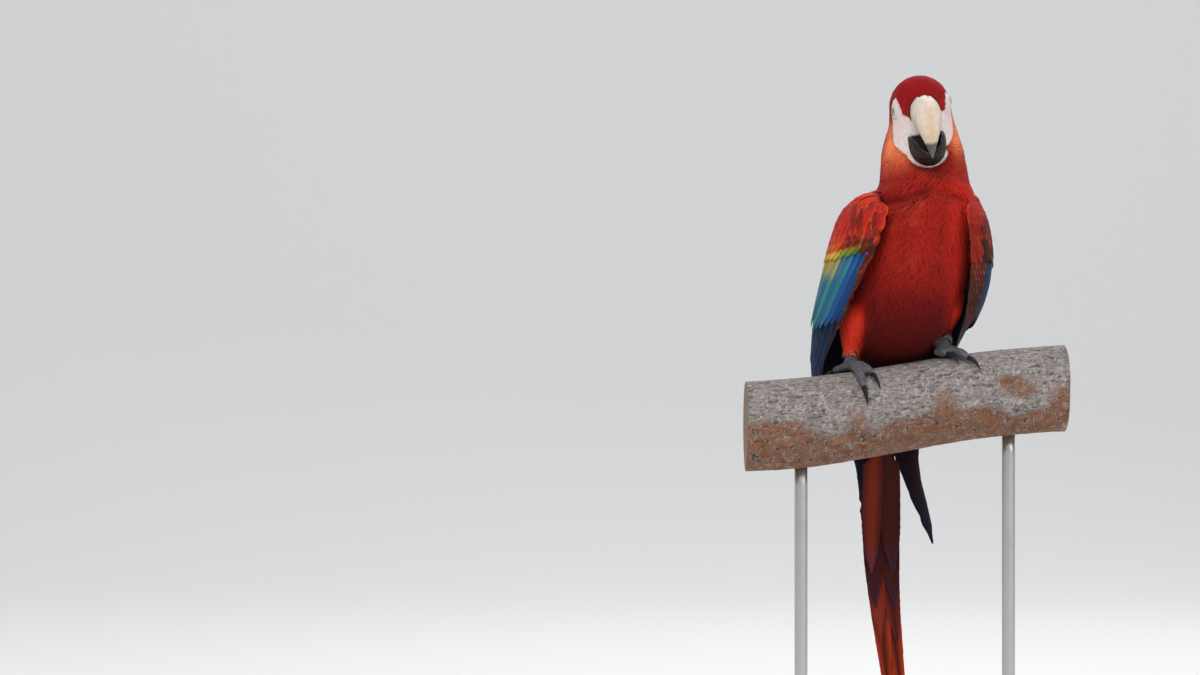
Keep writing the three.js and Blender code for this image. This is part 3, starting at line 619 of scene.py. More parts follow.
def join_vanes(name, grids, keels, colours, keel_colours, spans, roots):
    """One mesh of closed vanes. grids are (vanes, rows, columns, xyz), keels (vanes, rows, xyz)."""
    count, rows, columns, _ = grids.shape
    each = rows * columns + rows
    points = np.concatenate([grids.reshape(count, -1, 3), keels], axis=1).reshape(-1, 3)
    paints = np.concatenate([colours.reshape(count, -1, 3), keel_colours], axis=1).reshape(-1, 3)
    pattern = vane_faces(rows - 1, columns)
    faces = (pattern[None] + (np.arange(count) * each)[:, None, None]).reshape(-1, 3)

    across = np.broadcast_to(np.linspace(-1, 1, columns), (rows, columns)).ravel()
    along = np.repeat(stations(rows), columns)
    across = np.concatenate([across, np.zeros(rows)])
    along = np.concatenate([along, stations(rows)])
    flat = np.stack([across * 0.5 + 0.5, along], axis=1)
    metric = flat[None] * spans[:, None, :] / MM
    patch = roots[:, None, :] + flat[None] * PATCH
    rim = np.tile((np.abs(across) == 1) | ((along == 1) & (np.arange(each) < rows * columns)), count)
    maps = {"Vane": metric.reshape(-1, 2), "OFBake": patch.reshape(-1, 2)}
    return make_piece(name, points, faces, paints, maps, rim)


PATCH = 0.003  # how large each vane's patch is in the OFBake map


CROWN = 277  # above this height the unrolled map runs over the crown, in the bird's millimetres
MAP_ENDS = (110, 63)  # how far the map runs below the spine and past the crown


def unroll(points):
    """The skin unrolled: round the spine one way, along it and over the crown the other way."""
    x, y, z = bird_mm(points).T
    middle_x, middle_y = spine(z)
    east, south = x - middle_x, y - middle_y
    turn = np.arctan2(east, -south) / math.tau + 0.5
    over = np.arctan2(np.maximum(z - CROWN, 0), np.hypot(east, south)) * 40
    low, high = SPINE[0, 0] - MAP_ENDS[0], CROWN + MAP_ENDS[1]
    run = (np.minimum(z, CROWN) + over - low) / (high - low)
    return np.stack([turn * 0.98 + 0.01, run * 0.98 + 0.01], axis=1)


# The first five are sizes in metres, each one number or one for each vane.
Plume = namedtuple("Plume", "length half depth cup thick shape rows columns")


def lay_vanes(surface, roots, lie, plume, rng):
    """Grids and keels of vanes laid from roots along a surface."""
    count = len(roots)
    length, half, depth, cup, thick = (np.broadcast_to(np.asarray(size, float), count) for size in plume[:5])
    spot, normal, _ = surface.nearest(roots)
    heading = level(lie + rng.normal(0, 0.06, lie.shape), normal)
    along = stations(plume.rows)
    across = np.linspace(-1, 1, plume.columns)
    twist = rng.normal(0, 0.05, count) * half
    grids = np.empty((count, plume.rows, plume.columns, 3))
    keels = np.empty((count, plume.rows, 3))
    for r, t in enumerate(along):
        if r:
            step = (length * (t - along[r - 1]))[:, None]
            spot, normal, _ = surface.nearest(spot + heading * step)
            heading = level(heading, normal)
        side = np.cross(heading, normal)
        edges = []
        for way in (-1, 1):
            fray = rng.uniform(0.88, 1.06, count)
            reach = (way * half * outline(plume.shape, t) * fray)[:, None]
            edges.append(surface.nearest(spot + side * reach)[0])
        height = depth * (1 - (1 - t) ** 1.8) - 0.15 * depth * (1 - t)
        for c, u in enumerate(across):
            flat = spot + (edges[1 if u > 0 else 0] - spot) * abs(u)
            bow = height - cup * u * u + twist * u + (1 - u * u) * 0.06 * half
            grids[:, r, c] = flat + normal * bow[:, None]
        under = height - thick * (1 - 0.5 * t)
        keels[:, r] = spot + normal * under[:, None]
    return grids, keels


def shade_vanes(base, tips, rng, rows, columns, spread=0.07):
    """Colours of whole vanes from the colour at each root to that at each tip, with painted shade near the
    root and on the keel beneath.
    """
    count = len(base)
    t = stations(rows)
    u = np.linspace(-1, 1, columns)
    own = 1 + rng.normal(0, spread, count)
    along = base[:, None] + (tips - base)[:, None] * ramp(0.45, 0.95, t)[None, :, None]
    # Painted shade near the root, where the vanes over it keep the light off.
    dark = 0.80 + 0.20 * ramp(0.05, 0.7, t)
    top = along[:, :, None] * dark[None, :, None, None] * own[:, None, None, None]
    top = top * (1 - 0.05 * (1 - np.abs(u)))[None, None, :, None]
    # The keel beneath is painted darker still, as shade.
    keel = along * dark[None, :, None] * 0.85
    return top, keel


# ---- shader building
class Nodes:
    """Short hand for making a node tree."""

    def __init__(self, tree):
        self.tree = tree
        tree.nodes.clear()

    def add(self, kind, inputs=None, **settings):
        made = self.tree.nodes.new(kind)
        for key, value in settings.items():
            setattr(made, key, value)
        for key, value in (inputs or {}).items():
            self.feed(made.inputs[key], value)
        return made

    def feed(self, socket, value):
        if isinstance(value, bpy.types.NodeSocket):
            self.tree.links.new(value, socket)
        elif isinstance(value, (tuple, list, np.ndarray)) and socket.type == "RGBA":
            socket.default_value = (*value[:3], 1.0)
        else:
            socket.default_value = value

    def math(self, operation, first, second=0.0):
        return self.add("ShaderNodeMath", {0: first, 1: second}, operation=operation).outputs[0]

    def times(self, first, second):
        return self.math("MULTIPLY", first, second)

    def plus(self, first, second):
        return self.math("ADD", first, second)

    def mix(self, factor, first, second, kind="MIX"):
        inputs = {0: factor, 6: first, 7: second}  # the colour mix's own sockets
        return self.add("ShaderNodeMix", inputs, data_type="RGBA", blend_type=kind).outputs[2]

    def ramp(self, value, low, high, bottom=0.0, top=1.0):
        names = ("Value", "From Min", "From Max", "To Min", "To Max")
        inputs = dict(zip(names, (value, low, high, bottom, top)))
        return self.add("ShaderNodeMapRange", inputs, interpolation_type="SMOOTHSTEP").outputs[0]

    def noise(self, vector, scale, detail=3.0, roughness=0.55, distortion=0.0):
        names = ("Vector", "Scale", "Detail", "Roughness", "Distortion")
        inputs = dict(zip(names, (vector, scale, detail, roughness, distortion)))
        return self.add("ShaderNodeTexNoise", inputs).outputs["Fac"]

    def stretched(self, vector, scale):
        return self.add("ShaderNodeVectorMath", {0: vector, 1: scale}, operation="MULTIPLY").outputs[0]

    def object_place(self):
        return self.add("ShaderNodeTexCoord").outputs["Object"]

    # The pieces' painted colours: their own colours, and in places painted light and shade.
    def markings_and_painted_shading(self):
        return self.add("ShaderNodeAttribute", attribute_name="MarkingsAndPaintedShading").outputs["Color"]

    def bump(self, height, distance, strength=1.0):
        inputs = {"Height": height, "Strength": strength, "Distance": distance}
        return self.add("ShaderNodeBump", inputs).outputs["Normal"]


def material(build, *values, name=None):
    """A material, built the first time that it is asked for; build gives its shader's inputs."""
    name = name or build.__name__
    made = bpy.data.materials.get(name)
    if made is None:
        made = bpy.data.materials.new(name)
        made.use_nodes = True
        nodes = Nodes(made.node_tree)
        shader = nodes.add("ShaderNodeBsdfPrincipled", build(nodes, *values))
        out = nodes.add("ShaderNodeOutputMaterial")
        nodes.tree.links.new(shader.outputs[0], out.inputs["Surface"])
    return made


def shared_group(name, inputs, build):
    """A node group, built the first time that it is asked for; build gives its outputs, all numbers."""
    tree = bpy.data.node_groups.get(name)
    if tree is None:
        tree = bpy.data.node_groups.new(name, "ShaderNodeTree")
        for label, kind, default in inputs:
            socket = tree.interface.new_socket(label, in_out="INPUT", socket_type=kind)
            if default is not None:
                socket.default_value = default
        nodes = Nodes(tree)
        outputs = build(nodes, nodes.add("NodeGroupInput").outputs)
        for label in outputs:
            tree.interface.new_socket(label, in_out="OUTPUT", socket_type="NodeSocketFloat")
        nodes.add("NodeGroupOutput", outputs)
    return tree


def use_group(nodes, tree, inputs):
    made = nodes.add("ShaderNodeGroup", node_tree=tree)
    for key, value in inputs.items():
        nodes.feed(made.inputs[key], value)
    return made.outputs


def barb_group():
    """Fine barbs that slant out from a shaft, read from a map in the vane's own millimetres."""
    inputs = [
        ("Vane", "NodeSocketVector", None),
        ("Middle", "NodeSocketFloat", 6.0),
        ("Pitch", "NodeSocketFloat", 0.7),
        ("Contrast", "NodeSocketFloat", 0.2),
        ("Shaft", "NodeSocketFloat", 0.3),
    ]

    def build(nodes, given):
        parts = nodes.add("ShaderNodeSeparateXYZ", {0: given["Vane"]}).outputs
        off = nodes.math("ABSOLUTE", nodes.math("SUBTRACT", parts["X"], given["Middle"]))
        slant = nodes.math("SUBTRACT", parts["Y"], nodes.times(off, 1.1))
        wobble = nodes.noise(given["Vane"], 0.35, 2.0)
        slant = nodes.plus(slant, nodes.times(wobble, 2.2))
        wave = nodes.math("SINE", nodes.math("DIVIDE", nodes.times(slant, math.tau), given["Pitch"]))
        long = nodes.stretched(given["Vane"], (0.25, 1.0, 1.0))
        split = nodes.ramp(nodes.noise(long, 0.9, 3.0), 0.55, 0.75)
        shaft = nodes.ramp(off, nodes.times(given["Shaft"], 1.6), given["Shaft"])
        lines = nodes.times(nodes.times(wave, 0.5), given["Contrast"])
        gaps = nodes.times(nodes.times(split, -1.0), given["Contrast"])
        return {
            "Shade": nodes.plus(1.0, nodes.plus(lines, gaps)),
            "Shaft Mask": shaft,
            "Height": nodes.plus(nodes.times(wave, 0.5), nodes.times(shaft, 2.0)),
        }

    return shared_group("Vane barbs", inputs, build)


# How each kind of vane looks: half its width and its barbs' pitch in millimetres, the barbs' contrast,
# half the shaft's width, the shaft's tint, the roughness and the sheen.
VANES = {
    "plumage": (6.0, 0.9, 0.13, 0.16, 0.12, 0.66, 0.06),
    "covert_feathers": (7.0, 0.9, 0.14, 0.18, 0.2, 0.60, 0.04),
    "flight_feathers": (12.0, 1.1, 0.14, 0.45, 0.7, 0.50, 0.03),
    "tail_feathers": (12.0, 1.2, 0.14, 0.5, 0.45, 0.5, 0.04),
}


def feathers(nodes, middle, pitch, contrast, shaft, shaft_tint, roughness, sheen):
    """The piece's vertex colours, with painted light and shade in places, lined by barbs, with a shaft."""
    vane = nodes.add("ShaderNodeUVMap", uv_map="Vane").outputs[0]
    values = {"Vane": vane, "Middle": middle, "Pitch": pitch, "Contrast": contrast, "Shaft": shaft}
    barbs = use_group(nodes, barb_group(), values)
    channels = dict.fromkeys(("Red", "Green", "Blue"), barbs["Shade"])
    shade = nodes.add("ShaderNodeCombineColor", channels).outputs[0]
    colour = nodes.mix(1.0, nodes.markings_and_painted_shading(), shade, "MULTIPLY")
    colour = nodes.mix(nodes.times(barbs["Shaft Mask"], shaft_tint), colour, (0.03, 0.014, 0.012))
    return {
        "Base Color": colour,
        "Roughness": nodes.ramp(barbs["Shade"], 0.7, 1.2, roughness + 0.12, roughness),
        "Specular IOR Level": 0.11,
        "Sheen Weight": sheen,
        "Sheen Roughness": 0.45,
        "Normal": nodes.bump(barbs["Height"], 0.08 * MM, 0.6),
    }


def vane_material(slot):
    """The look of the feathers of one kind, given by its entry in VANES."""
    return material(feathers, *VANES[slot], name=slot.split("_")[0] + "_vanes")


def bare_skin(nodes):
    """Soft skin, finely creased and a little uneven in colour."""
    place = nodes.object_place()
    cells = nodes.add("ShaderNodeTexVoronoi", {"Vector": place, "Scale": 1900.0}, feature="DISTANCE_TO_EDGE")
    creases = cells.outputs["Distance"]
    pores = nodes.noise(place, 1400.0, 4.0)
    blush = nodes.ramp(nodes.noise(place, 160.0, 3.0), 0.42, 0.72)
    colour = nodes.mix(nodes.times(blush, 0.5), nodes.markings_and_painted_shading(), (0.92, 0.72, 0.70), "MULTIPLY")
    colour = nodes.mix(nodes.ramp(creases, 0.0, 0.14, 0.12, 0.0), colour, (0.36, 0.20, 0.18))
    height = nodes.plus(nodes.ramp(creases, 0.0, 0.3), nodes.times(pores, 0.5))
    return {
        "Base Color": colour,
        "Roughness": nodes.ramp(pores, 0.3, 0.7, 0.48, 0.66),
        "Specular IOR Level": 0.35,
        "Subsurface Weight": 0.12,
        "Subsurface Radius": (0.003, 0.0012, 0.0008),
        "Subsurface Scale": 1.0,
        "Normal": nodes.bump(height, 0.12 * MM, 0.6),
    }


def growth_group():
    """Growth lines and fine flakes of horn."""
    inputs = [("Place", "NodeSocketVector", None), ("Scale", "NodeSocketFloat", 60.0)]

    def build(nodes, given):
        long = nodes.stretched(given["Place"], (6.0, 1.0, 1.0))
        lines = nodes.noise(long, given["Scale"], 5.0, 0.6, 0.4)
        flakes = nodes.noise(given["Place"], nodes.times(given["Scale"], 9.0), 4.0)
        height = nodes.plus(lines, nodes.times(flakes, 0.35))
        return {"Lines": lines, "Flakes": flakes, "Height": height}

    return shared_group("Horn growth", inputs, build)


def grown_horn(nodes, line_tint, line_amount, roughness):
    """Horn with growth lines; its colour comes from the piece's vertex colours, which hold painted light and
    shade in places.
    """
    growth = use_group(nodes, growth_group(), {"Place": nodes.object_place(), "Scale": 70.0})
    streak = nodes.times(nodes.ramp(growth["Lines"], 0.44, 0.66), line_amount)
    colour = nodes.mix(streak, nodes.markings_and_painted_shading(), line_tint)
    fleck = nodes.times(nodes.ramp(growth["Flakes"], 0.60, 0.74), 0.25)
    colour = nodes.mix(fleck, colour, line_tint)
    return {
        "Base Color": colour,
        "Roughness": nodes.ramp(growth["Flakes"], 0.35, 0.65, roughness, roughness + 0.2),
        "Specular IOR Level": 0.26,
        "Coat Weight": 0.03,
        "Normal": nodes.bump(growth["Height"], 0.10 * MM, 0.7),
    }


# ---- the skin
SKIN = {}  # the skin's surface, and which flesh node each of its triangles is nearest to

# Depth of the coat over each node of flesh, in millimetres.
COAT_DEPTH = {
    "head": 2.0,
    "neck": 2.4,
    "trunk": 3.0,
    "tail_base": 4.2,
    "thigh": 3.2,
    "foot": 0.25,
    "wing": 2.6,
}
FACE_DEPTH = 0.3  # and over the bare face
BROW_SINK = (12, 30)  # the head's coat lies deeper between these millimetres forward


def coat_depth(points, owners):
    """Millimetres of coat over points of the flesh."""
    depths = np.array([COAT_DEPTH[next(k for k in COAT_DEPTH if name.startswith(k))] for name in FLESH])
    _, forward, _ = head_mm(points)
    depth = depths[owners] * (1 - 0.9 * ramp(*BROW_SINK, forward) * (owners == 0))
    return np.where(bare_sides(points) > 0, FACE_DEPTH, depth)


def relax(values, edges, passes):
    """Evens out a number or a vector for each point along the mesh's edges."""
    shape = values.shape
    values = values.reshape(len(values), -1)
    ends = np.concatenate([edges, edges[:, ::-1]])
    count = np.bincount(ends[:, 0], minlength=len(values))
    for _ in range(passes):
        sums = [np.bincount(ends[:, 0], column[ends[:, 1]], len(values)) for column in values.T]
        values = 0.4 * values + 0.6 * np.stack(sums, axis=1) / np.maximum(count, 1)[:, None]
    return values.reshape(shape)


def rounded(piece, passes):
    """Rounds a piece's facets away, then gives back what the rounding took off the whole shape."""
    points, edges = mesh_points(piece), np.array(piece.data.edge_keys)
    soft = relax(points, edges, passes)
    points = soft + relax(points - soft, edges, passes)
    move_points(piece, points)


class MACAW_OT_skin(bpy.types.Operator):
    """Makes one skin over the head, body, wing arms, thighs and feet, a coat's depth inside them"""

    bl_idname = "macaw.skin"
    bl_label = "Skin"

    def execute(self, context):
        piece = remeshed("skin", FLESH, sizes().skin_grain, 14)
        flesh = node_surface(*FLESH)
        origins = node_mesh(FLESH)[2]
        points = mesh_points(piece)
        nearest = [flesh.tree.find_nearest(spot)[2] for spot in points.tolist()]
        owners = origins[nearest]
        edges = np.array(piece.data.edge_keys)
        depth = (relax(coat_depth(points, owners), edges, 6) - ruff(points)) * MM
        shell = Surface(points, mesh_triangles(piece))
        inward = -shell.normals
        through = shell.cast(points + inward * 0.2 * MM, inward)
        thickness = np.nan_to_num(np.linalg.norm(through - points, axis=1), nan=1.0)
        sunk = points + inward * np.minimum(depth, 0.34 * thickness)[:, None]
        move_points(piece, sunk)
        paint(piece.data, skin_colour(points, owners, palette()))
        triangles = mesh_triangles(piece)
        SKIN["surface"] = Surface(sunk, triangles)
        SKIN["owners"] = owners[triangles[:, 0]]
        settle(piece, material(bare_skin), "plumage", *FLESH)
        return {"FINISHED"}


def skin_part(*names):
    """Marks the skin's triangles that belong to the named flesh nodes."""
    return np.isin(SKIN["owners"], [FLESH.index(name) for name in names])


# ---- the coat of the body
BILL_ROOT = (0, 26, -24)  # feathers of the head stream away from here, in the head's millimetres


def body_lie(points):
    """Which way the feathers of the head, neck and trunk lie."""
    z = bird_mm(points)[:, 2]
    _, forward, up = head_mm(points)
    away = unit(points - head_point(*BILL_ROOT))
    fall = for_each(points, unit(DOWN + 0.45 * BACK))
    lower = np.maximum(ramp(-4, -34, forward), ramp(-34, -62, up))
    return unit(away * (1 - lower)[:, None] + fall * lower[:, None])


def grow(
    name, roots, lie, plume, seed, slot="plumage", hue=plumage, spread=0.05, tints=(1.0, 1.08), under=None
):
    """A piece of vanes over the skin, or over another surface under them.

    hue gives each vane's colour from its middle, and tints are that colour's parts at the root and the tip.
    """
    rng = np.random.default_rng(seed)
    grids, keels = lay_vanes(under or SKIN["surface"], roots, lie, plume, rng)
    count, rows, columns, _ = grids.shape
    base = hue(grids[:, rows // 2, columns // 2], palette())
    top, keel = shade_vanes(base * tints[0], base * tints[1], rng, rows, columns, spread)
    spans = np.stack([2 * np.broadcast_to(plume.half, count), np.broadcast_to(plume.length, count)], axis=1)
    piece = join_vanes(name, grids, keels, top, keel, spans, unroll(roots))
    finish = material(foot_scales) if slot == "foot_skin" else vane_material(slot)
    settle(piece, finish, slot)


BROW_BAND = 5.0  # how wide the ruffled band round the bill's root is, in millimetres
BROW_REACH = 8.0  # how long its feathers are


def head_gap(points):
    """Feathers are small round the bill and larger towards the nape and the throat."""
    _, forward, up = head_mm(points)
    far = np.maximum(ramp(28, -40, forward), ramp(-24, -60, up))
    return sizes().plush_gap * (1 + 1.1 * far)


class MACAW_OT_head_coat(bpy.types.Operator):
    """Grows the short feathers of the forehead, crown, cheeks and chin"""

    bl_idname = "macaw.head_coat"
    bl_label = "Head feathers"

    def execute(self, context):
        surface = SKIN["surface"]
        inside = skin_part("head") & (bare_face(surface.centres) < 0)
        roots = surface.scatter(inside, head_gap, 11)
        gap = head_gap(roots)
        _, forward, _ = head_mm(roots)
        depth = (2.2 + 1.9 * ramp(16, 30, forward)) * MM
        plume = Plume(gap * 4.4, gap * 1.0, depth, gap * 0.06, 0.22 * MM, PLUSH, 6, 3)
        grow("coat_head", roots, body_lie(roots), plume, 12)
        self.brow()
        return {"FINISHED"}

    @staticmethod
    def brow():
        """Ruffled plush of the forehead, which hangs over the root of the bill."""
        cover = remeshed("brow_cover", ["head", "bill_upper"], 1.2 * MM, 8)
        envelope = piece_surface(cover)
        bpy.data.objects.remove(cover)
        bill = node_surface("bill_upper")
        near = np.flatnonzero(bare_face(envelope.centres) < -0.5)
        gaps = np.full(len(envelope.centres), np.inf)
        gaps[near] = bill.nearest(envelope.centres[near])[2]
        _, forward, up = head_mm(envelope.centres)
        inside = (gaps > 0.4 * MM) & (gaps < BROW_BAND * MM) & (up > HORN_FOOT) & (forward > 8)
        gap = sizes().plush_gap * 0.75
        roots = envelope.scatter(inside, gap, 14)
        rng = np.random.default_rng(16)
        inward = unit(unit(head_point(*BILL_ROOT) - roots) + rng.normal(0, 0.22, roots.shape))
        reach = BROW_REACH * rng.uniform(0.65, 1.1, len(roots))
        depth = rng.uniform(0.9, 1.9, len(roots)) * MM
        plume = Plume(reach * MM, gap * 0.8, depth, 0.0, 0.15 * MM, PLUSH, 6, 3)
        grow("coat_brow", roots, inward, plume, 15, hue=brow_colour, spread=0.10, under=envelope)


def brow_colour(points, colours):
    """The brow's fringe is lit from below by the pale bill, so it is a little brighter than the crown."""
    return plumage(points, colours) * 1.35


RING_ROOM = 15 * MM  # no feather roots nearer than this in front of the leg's ring


def clear_of_ring(roots):
    """Leaves out the roots whose feathers would hang over the leg's ring."""
    away = roots - middle_of("leg_band")
    over = (np.hypot(away[:, 0], away[:, 2] * 0.8) < RING_ROOM) & (away[:, 1] < 0)
    return roots[~over]


class MACAW_OT_body_coat(bpy.types.Operator):
    """Grows the feathers of the neck, breast, belly and back, and the tail's coverts"""

    bl_idname = "macaw.body_coat"
    bl_label = "Neck, breast and back feathers"

    def execute(self, context):
        surface = SKIN["surface"]
        gap = sizes().breast_gap
        front = surface.centres[:, 1] < ROOST[1] + spine(bird_mm(surface.centres)[:, 2])[1] * MM
        feathered = bare_face(surface.centres) < 0
        self.downy("coat_neck", skin_part("neck") & feathered, sizes().neck_gap, 5.4, 2.3, 21)
        self.downy("coat_breast", skin_part("trunk") & front, gap, 5.6, 2.8, 31)
        self.downy("coat_back", skin_part("trunk") & ~front, gap, 5.6, 2.8, 41)
        roots = surface.scatter(skin_part("tail_base"), gap * 1.1, 51)
        plume = Plume(gap * 10, gap * 1.7, 4.4 * MM, gap * 0.15, 0.30 * MM, CONTOUR, 9, 5)
        grow("coat_tail_coverts", roots, body_lie(roots), plume, 52)
        return {"FINISHED"}

    @staticmethod
    def downy(name, inside, gap, reach, depth, seed):
        """A coat of soft feathers, each reach gaps long, depth millimetres deep at the tips."""
        roots = clear_of_ring(SKIN["surface"].scatter(inside, gap, seed))
        plume = Plume(gap * reach, gap * 0.95, depth * MM, gap * 0.06, 0.20 * MM, DOWNY, 7, 3)
        grow(name, roots, body_lie(roots), plume, seed + 1)


def thigh_colour(points, colours):
    """The thighs are paler towards the ankles."""
    z = bird_mm(points)[:, 2]
    return blend(plumage(points, colours), colours.ember * 0.9, 0.06 + 0.3 * ramp(24, 8, z))


class MACAW_OT_thigh_coat(bpy.types.Operator):
    """Grows the feathers of both thighs, down to the ankles"""

    bl_idname = "macaw.thigh_coat"
    bl_label = "Thigh feathers"

    def execute(self, context):
        gap = sizes().thigh_gap
        roots = clear_of_ring(SKIN["surface"].scatter(skin_part(*THIGHS), gap, 61))
        z = bird_mm(roots)[:, 2]
        length = gap * (3.4 + 2.0 * ramp(14, 70, z))
        plume = Plume(length, gap * 0.9, 2.8 * MM, gap * 0.07, 0.22 * MM, DOWNY, 7, 3)
        lie = for_each(roots, unit(DOWN + 0.1 * BACK))
        grow("coat_thighs", roots, lie, plume, 62, hue=thigh_colour)
        return {"FINISHED"}


# ---- the bare face
ROW_GAP = 1.9  # between the rows of tiny feathers on the face, in millimetres
ROW_STEP = 1.35  # between the feathers of a row
LID_REACH = 10.2  # how far the lids' folds spread round each eye, in millimetres
LID_OPENING = 4.1  # how far from the eye's middle they open
LID_THICK = 0.55
LID_SIDES = 48
LID_BRINK = (0.16, 0.10, 0.09)  # the dark edge of the opening
# A lid's folds: the part of the way from the opening to the lid's edge, and the millimetres over a slope.
LID_FOLDS = (
    (0.08, 0.30), (0.15, 0.22), (0.22, -0.35), (0.30, 0.30), (0.38, 0.18), (0.45, -0.40),
    (0.55, 0.28), (0.64, -0.30), (0.75, 0.22), (0.84, -0.22), (0.92, 0.05),
)


def eye_radius(side):
    low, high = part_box("eye_" + side)
    return (high.z - low.z) / 2


def socket(side):
    """One eye's gaze, square to the face round it, and the skin's height along it all round the eye."""
    gaze = SIDES[side] * HEAD_LEFT
    sines, cosines = circle(LID_SIDES)
    for _ in range(3):
        up = level(HEAD_UP, gaze)
        ring = EYES[side] + (cosines * np.cross(gaze, up) + sines * up) * LID_REACH * MM
        hits = SKIN["surface"].cast(ring + gaze * 0.03, np.tile(-gaze, (LID_SIDES, 1)))
        gaze = unit(SKIN["surface"].nearest(hits)[1].mean(axis=0))
    return gaze, up, (hits - EYES[side]) @ gaze / MM


class MACAW_OT_face(bpy.types.Operator):
    """Sets rows of tiny feathers on the bare face, and lids round both eyes"""

    bl_idname = "macaw.face"
    bl_label = "Face"

    def execute(self, context):
        self.rows()
        for side in SIDES:
            self.lid(side)
        return {"FINISHED"}

    def rows(self):
        surface = SKIN["surface"]
        rng = np.random.default_rng(71)
        starts, ways = [], []
        for way in SIDES.values():
            for row, up in enumerate(np.arange(10, -64, -ROW_GAP)):
                for forward in np.arange(-12, 36, ROW_STEP) + (row % 2) * ROW_STEP / 2:
                    sag = 0.012 * (forward - 8) ** 2
                    wobble = rng.normal(0, 0.42, 2)
                    starts.append(head_point(way * 60, forward + wobble[0], up - sag + wobble[1]))
                    ways.append(-way * HEAD_LEFT)
        hits = surface.cast(np.array(starts), np.array(ways))
        hits = hits[~np.isnan(hits[:, 0])]
        eye_gap = np.min([np.linalg.norm(hits - EYES[side], axis=1) for side in SIDES], axis=0)
        hits = hits[(bare_face(hits) > 0.8) & (eye_gap > LID_REACH * MM) & (mouth(hits) < 0.1)]
        fine = rng.uniform(0.55, 1.15, len(hits))
        plume = Plume(1.5 * fine * MM, 0.20 * fine * MM, 0.30 * MM, 0.03 * MM, 0.12 * MM, PLUSH, 4, 3)

        def hue(spots, colours):
            return blend(colours.crimson, colours.face, rng.uniform(0.10, 0.45, len(spots)))

        grow("coat_face_rows", hits, body_lie(hits), plume, rng, hue=hue, spread=0.25, tints=(1.0, 1.2))

    def lid(self, side):
        """A ring of thin folded skin that opens round the eye and lies on the face."""
        gaze, up, heights = socket(side)
        back = np.cross(gaze, up)
        flat = heights.mean()
        ball = eye_radius(side) / MM
        rest = math.sqrt(ball**2 - LID_OPENING**2)
        brim = rest + LID_THICK
        profile = [(LID_OPENING, rest), (LID_OPENING + 0.05, brim)]
        for part, lift in LID_FOLDS:
            radius = LID_OPENING + (LID_REACH - LID_OPENING) * part
            over_ball = math.sqrt(max(ball**2 - radius**2, 0)) + LID_THICK
            slope = brim + (flat - 0.3 - brim) * ramp(0, 1, part)
            profile.append((radius, max(slope, over_ball) + lift))
        profile += [(LID_REACH, flat - 0.7), (LID_REACH - 0.8, flat - 2.0)]
        profile += [(LID_OPENING + 0.9, flat - 2.2), profile[0]]
        sines, cosines = circle(LID_SIDES)
        rings = []
        for radius, height in profile:
            narrow = 1 - 0.09 * np.abs(sines) * ramp(7.5, 5.0, radius)
            spread = radius * (narrow * sines * up + cosines * back)
            follow = (heights[:, None] - flat) * (radius / LID_REACH) ** 2
            rings.append(EYES[side] + (spread + (height + follow) * gaze) * MM)
        points, faces = lofted(rings, closed_ends=False)
        away = np.linalg.norm(np.cross(points - EYES[side], gaze), axis=1) / MM
        brink = ramp(LID_OPENING + 0.45, LID_OPENING + 0.05, away)
        colours = blend(palette().face * 0.9, LID_BRINK, brink)
        piece = make_piece("eyelid_" + side, points, faces, colours)
        settle(piece, material(bare_skin), "plumage")


# ---- eyes
PUPIL = 16.5  # half the pupil's and the iris's angle from the gaze, in degrees
IRIS = 39.0
IRIS_PALE, IRIS_RIM = (0.50, 0.46, 0.28), (0.30, 0.24, 0.10)
PUPIL_BLACK, EYE_EDGE = (0.004, 0.004, 0.004), (0.05, 0.035, 0.03)
EYE_SIDES = 48


class MACAW_OT_eyes(bpy.types.Operator):
    """Makes both eyeballs, each with a pale iris round a small pupil"""

    bl_idname = "macaw.eyes"
    bl_label = "Eyes"

    def execute(self, context):
        for side in SIDES:
            self.eye(side)
        return {"FINISHED"}

    def eye(self, side):
        gaze, up, _ = socket(side)
        sines, cosines = circle(EYE_SIDES)
        spread = cosines * up + sines * np.cross(gaze, up)
        rings, colours = [], []
        for angle in np.linspace(1, 179, 60):
            bulge = eye_radius(side) * (1 + 0.055 * ramp(42, 18, angle))
            away, out = math.sin(math.radians(angle)), math.cos(math.radians(angle))
            rings.append(EYES[side] + bulge * (away * spread + out * gaze))
            colours += [self.shade(angle, math.tau * k / EYE_SIDES) for k in range(EYE_SIDES)]
        colours += [self.shade(0, 0), self.shade(180, 0)]
        piece = make_piece("eyeball_" + side, *lofted(rings), np.array(colours))
        settle(piece, material(wet_eye), "eye", "eye_" + side)

    @staticmethod
    def shade(angle, turn):
        """Pupil, iris and dark rim by the angle from the gaze, in degrees."""
        streak = 0.10 * math.sin(23 * turn) + 0.06 * math.sin(41 * turn + 1)
        rimmed = blend(np.array(IRIS_PALE) * (1 + streak), IRIS_RIM, ramp(IRIS - 9, IRIS, angle))
        shade = blend(PUPIL_BLACK, rimmed, ramp(PUPIL - 1, PUPIL + 1, angle))
        return blend(shade, EYE_EDGE, ramp(IRIS - 1, IRIS + 2, angle))


def wet_eye(nodes):
    flecks = nodes.noise(nodes.object_place(), 1500.0, 3.0)
    colour = nodes.mix(nodes.ramp(flecks, 0.45, 0.7, 0.0, 0.25), nodes.markings_and_painted_shading(), (0.25, 0.18, 0.06))
    return {
        "Base Color": colour,
        "Roughness": 0.12,
        "Specular IOR Level": 0.5,
        "Coat Weight": 1.0,
        "Coat Roughness": 0.02,
    }


# ---- the bill
CERE_FRONT = 6.0  # the cere covers the bill's root above this height over the brow, in millimetres
NOSTRIL = (4.4, 8.4)  # each nostril's distance from the middle and height, in millimetres
TIP_LINE = -45.0  # the horn turns black below this height
